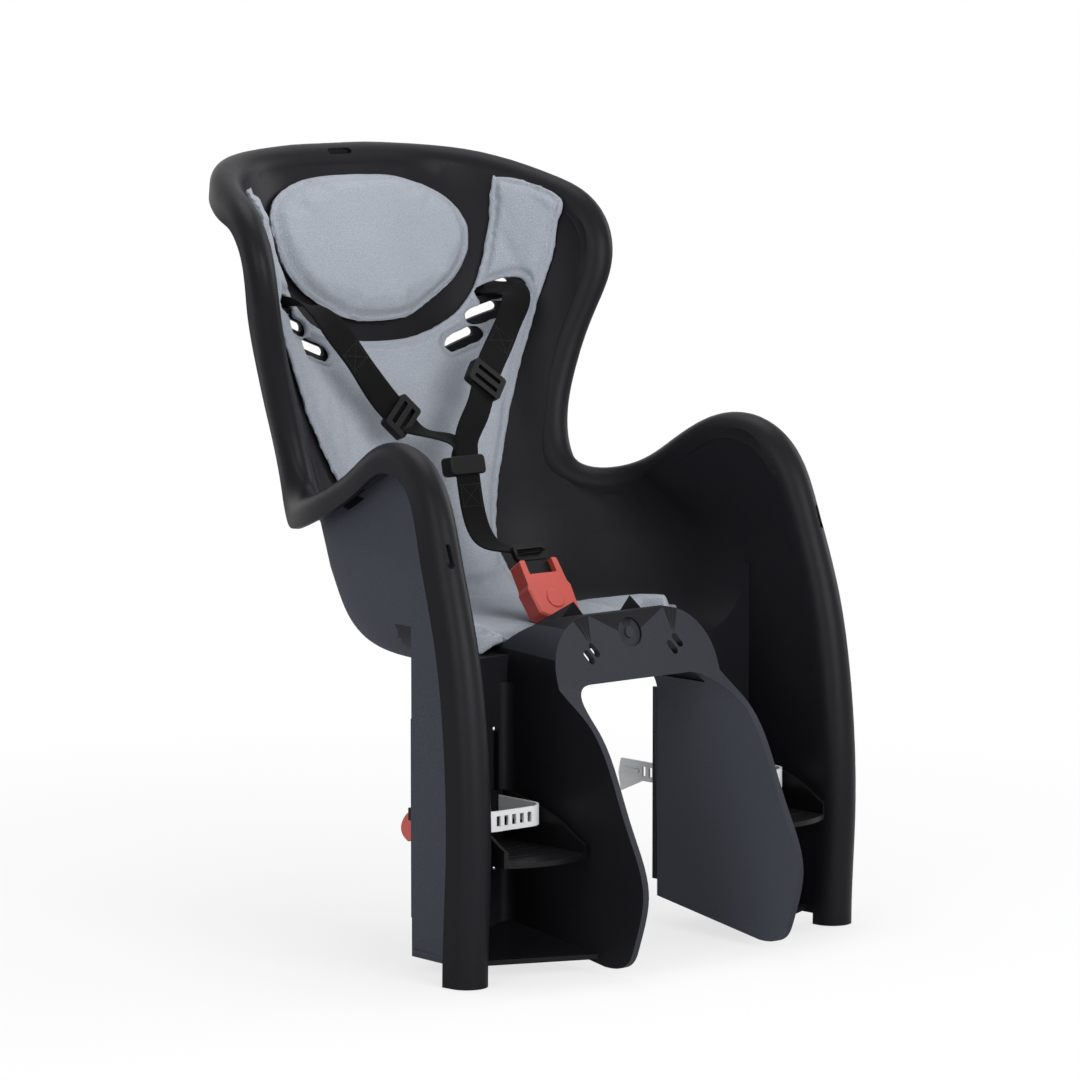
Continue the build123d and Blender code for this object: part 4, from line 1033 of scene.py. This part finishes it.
# %% Harness routes
RIGHT_ROUTE = (
    (113, 313.5, 505), (113, 296, 505), (113, 275, 505), (108.5, 264, 500), (98, 256, 489), (78, 246.5, 468),
    (44, 229, 436), (26, 218, 412), (9, 211.8, 390), (6, 207.3, 373),
)
RIGHT_FACING = (
    (-0.34, 0, 0.94), (-0.34, 0, 0.94), (-0.34, 0, 0.94), (-0.15, -0.5, 0.85), (0.15, -0.75, 0.6),
    (0.2, -0.8, 0.55), (0.2, -0.8, 0.55), (0.2, -0.85, 0.45), (0.05, -0.95, 0.25), (0, -0.97, 0.22),
)
LEFT_ROUTE = (
    (-113, 313.5, 505), (-113, 296, 505), (-113, 275, 505), (-108, 265, 500), (-98, 258.5, 489),
    (-74, 250.5, 457), (-39.5, 237.5, 410), (-17, 224, 395), (1, 214.5, 387), (4, 210.5, 374),
)
LEFT_FACING = (
    (0.34, 0, 0.94), (0.34, 0, 0.94), (0.34, 0, 0.94), (0.15, -0.5, 0.85), (-0.15, -0.75, 0.6),
    (-0.2, -0.8, 0.55), (-0.2, -0.78, 0.52), (0.35, -0.38, 0.85), (0.2, -0.65, 0.72), (0, -0.9, 0.35),
)
BACK_ROUTE = (
    (115, 312.5, 506), (97, 320.5, 504), (78, 326.5, 503.5), (45, 329.4, 503), (0, 330, 503),
    (-45, 329.4, 503), (-78, 326.5, 503.5), (-97, 320.5, 504), (-115, 312.5, 506),
)
BACK_FACING = (
    (0.56, 0.74, -0.3), (0.45, 0.83, -0.33), (0.24, 0.91, -0.34), (0.05, 0.94, -0.34), (0, 0.94, -0.34),
    (-0.05, 0.94, -0.34), (-0.24, 0.91, -0.34), (-0.45, 0.83, -0.33), (-0.56, 0.74, -0.3),
)
LOWER_ROUTE = (
    (4, 205, 366), (4, 201, 346), (3, 193, 325), (1, 179, 311), (0, 160, 306), (0, 140, 306),
    (0, 124.5, 306.8), (0, 118, 308),
)
LOWER_FACING = (
    (0, -0.97, 0.2), (0, -0.95, 0.3), (0, -0.85, 0.5), (0, -0.5, 0.85), (0, -0.05, 1), (0, 0.05, 1),
    (0, 0.1, 1), (0, 0.15, 1),
)

# %% Weave the harness
right_run = tape_run(RIGHT_ROUTE, RIGHT_FACING)
left_run = tape_run(LEFT_ROUTE, LEFT_FACING)
lower_run = tape_run(LOWER_ROUTE, LOWER_FACING)
right_tape = tape("shoulder_tape_right", right_run)
tape("shoulder_tape_left", left_run)
tape("shoulder_tape_back", tape_run(BACK_ROUTE, BACK_FACING))
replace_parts(right_tape, "shoulder_strap")
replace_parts(tape("lower_tape", lower_run), "lower_strap")

# %% Crotch tape
# The buckle's lean fixes where the tape leaves it; below that it hangs straight through the pan.
BUCKLE_LEAN = math.radians(34.3)
BUCKLE_SPOT = Vector((0, 104, 277))
FOLD_WIDTH, FOLD_THICK = 0.027, 0.004
down_buckle = Vector((0, -math.sin(BUCKLE_LEAN), -math.cos(BUCKLE_LEAN)))
buckle_look = (0, -math.cos(BUCKLE_LEAN), math.sin(BUCKLE_LEAN))
crotch_route = [tuple(BUCKLE_SPOT + down_buckle * reach) for reach in (21, 25, 29)]
crotch_route += [(0, 87, 245), (0, 87, 238), (0, 87, 229.8)]
crotch_facing = [buckle_look] * 3 + [(0, -0.97, 0.2), (0, -1, 0), (0, -1, 0)]
fold_run = tape_run([(0, 87 + step, 231.8) for step in (5.4, 2.6, 0, -2.6, -5.4)], [(0, 0, 1)] * 5)
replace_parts(tape("crotch_tape", tape_run(crotch_route, crotch_facing)), "crotch_strap")
tape("crotch_tape_fold", fold_run, FOLD_WIDTH, FOLD_THICK)

# %% [markdown]
# ## Stitches
# Harness tape is sewn where it ends: a box of short stitches with a cross in it, in thread of the
# same colour. Hundreds of stitches follow the tape's bends, so Geometry Nodes lay them: the seam is
# a line of points on the tape, and the tree walks along it, sets one small thread body for every
# pitch, and turns it along the seam and flat on the tape.

# %% Geometry node helpers


def new_geometry_tree(name, inputs):
    """A geometry node tree with named inputs: (name, type, default); returns tree, start and end."""
    tree = bpy.data.node_groups.new(name, "GeometryNodeTree")
    tree.interface.new_socket("Geometry", in_out="INPUT", socket_type="NodeSocketGeometry")
    for label, kind, default in inputs:
        socket = tree.interface.new_socket(label, in_out="INPUT", socket_type=kind)
        if default is not None:
            socket.default_value = default
    tree.interface.new_socket("Geometry", in_out="OUTPUT", socket_type="NodeSocketGeometry")
    return tree, tree.nodes.new("NodeGroupInput"), tree.nodes.new("NodeGroupOutput")


def point_attribute(tree, name, kind):
    """The socket of a named attribute that the script stores on the points."""
    node = tree.nodes.new("GeometryNodeInputNamedAttribute")
    node.data_type = kind
    node.inputs["Name"].default_value = name
    return node.outputs["Attribute"]


def turned_to(tree, vector, axis, before=None, pivot="AUTO"):
    """A rotation that points an axis along a vector."""
    node = tree.nodes.new("FunctionNodeAlignRotationToVector")
    node.axis = axis
    node.pivot_axis = pivot
    tree.links.new(vector, node.inputs["Vector"])
    if before is not None:
        tree.links.new(before, node.inputs["Rotation"])
    return node.outputs["Rotation"]


def close_tree(tree, instances, material, end):
    """Real meshes with a smooth surface and the given material, as the tree's result."""
    real = tree.nodes.new("GeometryNodeRealizeInstances")
    smooth = tree.nodes.new("GeometryNodeSetShadeSmooth")
    paint = tree.nodes.new("GeometryNodeSetMaterial")
    tree.links.new(instances, real.inputs["Geometry"])
    tree.links.new(real.outputs["Geometry"], smooth.inputs["Geometry"])
    tree.links.new(smooth.outputs["Geometry"], paint.inputs["Geometry"])
    tree.links.new(material, paint.inputs["Material"])
    tree.links.new(paint.outputs["Geometry"], end.inputs["Geometry"])


def run_tree(piece, tree, values):
    """Sets the tree's inputs on a modifier, by identifier, and keeps the result as a plain mesh."""
    modifier = piece.modifiers.new(tree.name, "NODES")
    modifier.node_group = tree
    for item in tree.interface.items_tree:
        if item.in_out == "INPUT" and item.name in values:
            modifier[item.identifier] = values[item.name]
    return plain_mesh(piece, piece.name)


# %% Stitch tree
stitch_tree, start, end = new_geometry_tree("sewn_stitches", [
    ("Pitch", "NodeSocketFloat", 0.0026), ("Length", "NodeSocketFloat", 0.0021),
    ("Thread", "NodeSocketFloat", 0.0007), ("Material", "NodeSocketMaterial", None),
])
seam_curve = stitch_tree.nodes.new("GeometryNodeMeshToCurve")
stitch_tree.links.new(start.outputs["Geometry"], seam_curve.inputs["Mesh"])
walk = stitch_tree.nodes.new("GeometryNodeResampleCurve")
walk.mode = "LENGTH"
stitch_tree.links.new(seam_curve.outputs["Curve"], walk.inputs["Curve"])
stitch_tree.links.new(start.outputs["Pitch"], walk.inputs["Length"])
bead = stitch_tree.nodes.new("GeometryNodeMeshUVSphere")
bead.inputs["Segments"].default_value = 8
bead.inputs["Rings"].default_value = 6
bead.inputs["Radius"].default_value = 0.5
drawn = stitch_tree.nodes.new("ShaderNodeCombineXYZ")
stitch_tree.links.new(start.outputs["Length"], drawn.inputs["X"])
stitch_tree.links.new(start.outputs["Thread"], drawn.inputs["Y"])
stitch_tree.links.new(start.outputs["Thread"], drawn.inputs["Z"])
tangent = stitch_tree.nodes.new("GeometryNodeInputTangent").outputs["Tangent"]
along_seam = turned_to(stitch_tree, tangent, "X")
tape_out = point_attribute(stitch_tree, "tape_out", "FLOAT_VECTOR")
on_tape = turned_to(stitch_tree, tape_out, "Z", along_seam, "X")
lay = stitch_tree.nodes.new("GeometryNodeInstanceOnPoints")
stitch_tree.links.new(walk.outputs["Curve"], lay.inputs["Points"])
stitch_tree.links.new(bead.outputs["Mesh"], lay.inputs["Instance"])
stitch_tree.links.new(on_tape, lay.inputs["Rotation"])
stitch_tree.links.new(drawn.outputs["Vector"], lay.inputs["Scale"])
close_tree(stitch_tree, lay.outputs["Instances"], start.outputs["Material"], end)

# %% Seams
SEAM_STEP = 0.001
thread_finish = plastic_finish(
    "thread_black", (0.006, 0.006, 0.007), (0.014, 0.014, 0.015), (0.55, 0.7), 2500.0, 0.4, specular=0.2
)


def on_run(run, distance, across_by, lift):
    """The point and the outward direction at a place on a tape's face."""
    spots = [row[0] for row in run]
    i = min(max(int(np.searchsorted(spots, distance)), 1), len(run) - 1)
    share = (distance - spots[i - 1]) / (spots[i] - spots[i - 1])
    centre, across, out = (run[i - 1][k].lerp(run[i][k], share) for k in (1, 2, 3))
    return centre + across * across_by + out * lift, out * math.copysign(1.0, lift)


def box_and_cross(low, high, half):
    """Corners of a sewn box with its cross, as (distance, across) pairs of line ends."""
    a, b, c, d = (low, -half), (low, half), (high, half), (high, -half)
    return [(a, b), (b, c), (c, d), (d, a), (a, c), (b, d)]


def seams(name, lines):
    """A mesh of seam lines: (run, line ends, lift from the tape's middle) for each."""
    points, edges, outs = [], [], []
    for run, (first, last), lift in lines:
        steps = max(2, int(math.dist(first, last) / SEAM_STEP))
        for i in range(steps + 1):
            distance, across_by = (f + (g - f) * i / steps for f, g in zip(first, last))
            point, out = on_run(run, distance, across_by, lift)
            edges += [(len(points) - 1, len(points))] if i else []
            points.append(point)
            outs += tuple(out)
    mesh = bpy.data.meshes.new(name)
    mesh.from_pydata(points, edges, [])
    mesh.attributes.new("tape_out", "FLOAT_VECTOR", "POINT").data.foreach_set("vector", outs)
    piece = bpy.data.objects.new(name, mesh)
    scene.collection.objects.link(piece)
    return piece


lower_end = lower_run[-1][0]
sewn = []
for run, low, high in (
    (lower_run, 0.012, 0.030), (lower_run, lower_end - 0.034, lower_end - 0.016),
    (right_run, 0.095, 0.111), (left_run, 0.095, 0.111),
):
    for lift in (TAPE_THICK / 2, -TAPE_THICK / 2):
        sewn += [(run, ends, lift) for ends in box_and_cross(low, high, 0.0095)]
sewn += [(fold_run, ends, -FOLD_THICK / 2) for ends in box_and_cross(0.0015, 0.0093, 0.0105)]
stitches = seams("harness_stitches", sewn)
run_tree(stitches, stitch_tree, {"Material": thread_finish})
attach(stitches, "seat")
print("stitches:", len(stitches.data.polygons), "faces")

# %% [markdown]
# ## Screw and rivet heads
# The CAD has plain discs for the heads of the slider screws and the ends of rivets and pins. Real
# ones are domed, and the screws have a cross for the driver. All heads are the same shape in
# different sizes, so one Geometry Nodes tree turns a dome on a lathe, cuts the cross where it is
# asked for, and sets it on each point that the script reads from the CAD boxes.

# %% Head tree
head_tree, start, end = new_geometry_tree("fastener_heads", [
    ("Height", "NodeSocketFloat", 0.55), ("Cross", "NodeSocketBool", False),
    ("Cross Width", "NodeSocketFloat", 0.22), ("Cross Length", "NodeSocketFloat", 1.1),
    ("Material", "NodeSocketMaterial", None),
])
axis_line = head_tree.nodes.new("GeometryNodeCurvePrimitiveLine")
top = head_tree.nodes.new("ShaderNodeCombineXYZ")
head_tree.links.new(start.outputs["Height"], top.inputs["Z"])
head_tree.links.new(top.outputs["Vector"], axis_line.inputs["End"])
rings = head_tree.nodes.new("GeometryNodeResampleCurve")
rings.inputs["Count"].default_value = 9
head_tree.links.new(axis_line.outputs["Curve"], rings.inputs["Curve"])
share_up = head_tree.nodes.new("GeometryNodeSplineParameter").outputs["Factor"]
fallen = maths(head_tree, "POWER", share_up, 2.6)
dome = maths(head_tree, "SQRT", maths(head_tree, "SUBTRACT", 1.002, fallen), 0.0)
waist = head_tree.nodes.new("GeometryNodeSetCurveRadius")
head_tree.links.new(rings.outputs["Curve"], waist.inputs["Curve"])
head_tree.links.new(dome, waist.inputs["Radius"])
circle = head_tree.nodes.new("GeometryNodeCurvePrimitiveCircle")
circle.inputs["Resolution"].default_value = 28
circle.inputs["Radius"].default_value = 1.0
lathe = head_tree.nodes.new("GeometryNodeCurveToMesh")
lathe.inputs["Fill Caps"].default_value = True
head_tree.links.new(waist.outputs["Curve"], lathe.inputs["Curve"])
head_tree.links.new(circle.outputs["Curve"], lathe.inputs["Profile Curve"])
if "Scale" in lathe.inputs:
    head_tree.links.new(dome, lathe.inputs["Scale"])
cut = head_tree.nodes.new("GeometryNodeMeshBoolean")
cut.operation = "DIFFERENCE"
head_tree.links.new(lathe.outputs["Mesh"], cut.inputs["Mesh 1"])
for long_side, short_side in (("X", "Y"), ("Y", "X")):
    size = head_tree.nodes.new("ShaderNodeCombineXYZ")
    size.inputs["Z"].default_value = 0.6
    head_tree.links.new(start.outputs["Cross Length"], size.inputs[long_side])
    head_tree.links.new(start.outputs["Cross Width"], size.inputs[short_side])
    bar = head_tree.nodes.new("GeometryNodeMeshCube")
    head_tree.links.new(size.outputs["Vector"], bar.inputs["Size"])
    raised = head_tree.nodes.new("GeometryNodeTransform")
    head_tree.links.new(bar.outputs["Mesh"], raised.inputs["Geometry"])
    head_tree.links.new(top.outputs["Vector"], raised.inputs["Translation"])
    head_tree.links.new(raised.outputs["Geometry"], cut.inputs["Mesh 2"])
choose = head_tree.nodes.new("GeometryNodeSwitch")
choose.input_type = "GEOMETRY"
head_tree.links.new(start.outputs["Cross"], choose.inputs["Switch"])
head_tree.links.new(lathe.outputs["Mesh"], choose.inputs["False"])
head_tree.links.new(cut.outputs["Mesh"], choose.inputs["True"])
seat_heads = head_tree.nodes.new("GeometryNodeInstanceOnPoints")
head_tree.links.new(start.outputs["Geometry"], seat_heads.inputs["Points"])
head_tree.links.new(choose.outputs["Output"], seat_heads.inputs["Instance"])
facing_out = turned_to(head_tree, point_attribute(head_tree, "head_axis", "FLOAT_VECTOR"), "Z")
head_tree.links.new(facing_out, seat_heads.inputs["Rotation"])
head_tree.links.new(point_attribute(head_tree, "head_radius", "FLOAT"), seat_heads.inputs["Scale"])
close_tree(head_tree, seat_heads.outputs["Instances"], start.outputs["Material"], end)

# %% Set the heads
HEAD_SINK = 0.0003


def heads(name, spots, body, height, cross):
    """Domed heads at (centre, axis, radius) spots on one body."""
    mesh = bpy.data.meshes.new(name)
    mesh.from_pydata([centre - axis * HEAD_SINK for centre, axis, _ in spots], [], [])
    axes = [value for _, axis, _ in spots for value in axis]
    mesh.attributes.new("head_axis", "FLOAT_VECTOR", "POINT").data.foreach_set("vector", axes)
    mesh.attributes.new("head_radius", "FLOAT", "POINT").data.foreach_set("value", [r for _, _, r in spots])
    piece = bpy.data.objects.new(name, mesh)
    scene.collection.objects.link(piece)
    run_tree(piece, head_tree, {"Height": height, "Cross": cross, "Material": steel_finish})
    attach(piece, body)
    print(name, len(piece.data.polygons), "faces")


def pin_ends(node):
    """Both ends of a pin or rivet along its longest side, as (centre, axis, radius)."""
    low, high = (Vector(corner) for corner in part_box(node))
    size = high - low
    k = max(range(3), key=lambda i: size[i])
    axis = Vector([1.0 if i == k else 0.0 for i in range(3)])
    middle, radius = (low + high) / 2, min(size) / 2
    return [(middle + axis * size[k] / 2, axis, radius), (middle - axis * size[k] / 2, -axis, radius)]


for side in ("right", "left"):
    low, high = (Vector(corner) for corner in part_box(side + "_slider_screws"))
    radius = (high.x - low.x) / 2
    spots = [
        (Vector(((low.x + high.x) / 2, high.y, level)), Vector((0, 1, 0)), radius)
        for level in (low.z + radius, high.z - radius)
    ]
    heads(side + "_screw_heads", spots, side + "_rest", 0.38, True)
    ends = [end for kind in ("latch_pin", "catch_pin", "strap_rivet") for end in pin_ends(f"{side}_{kind}")]
    heads(side + "_rivet_heads", ends, side + "_rest", 0.3, False)
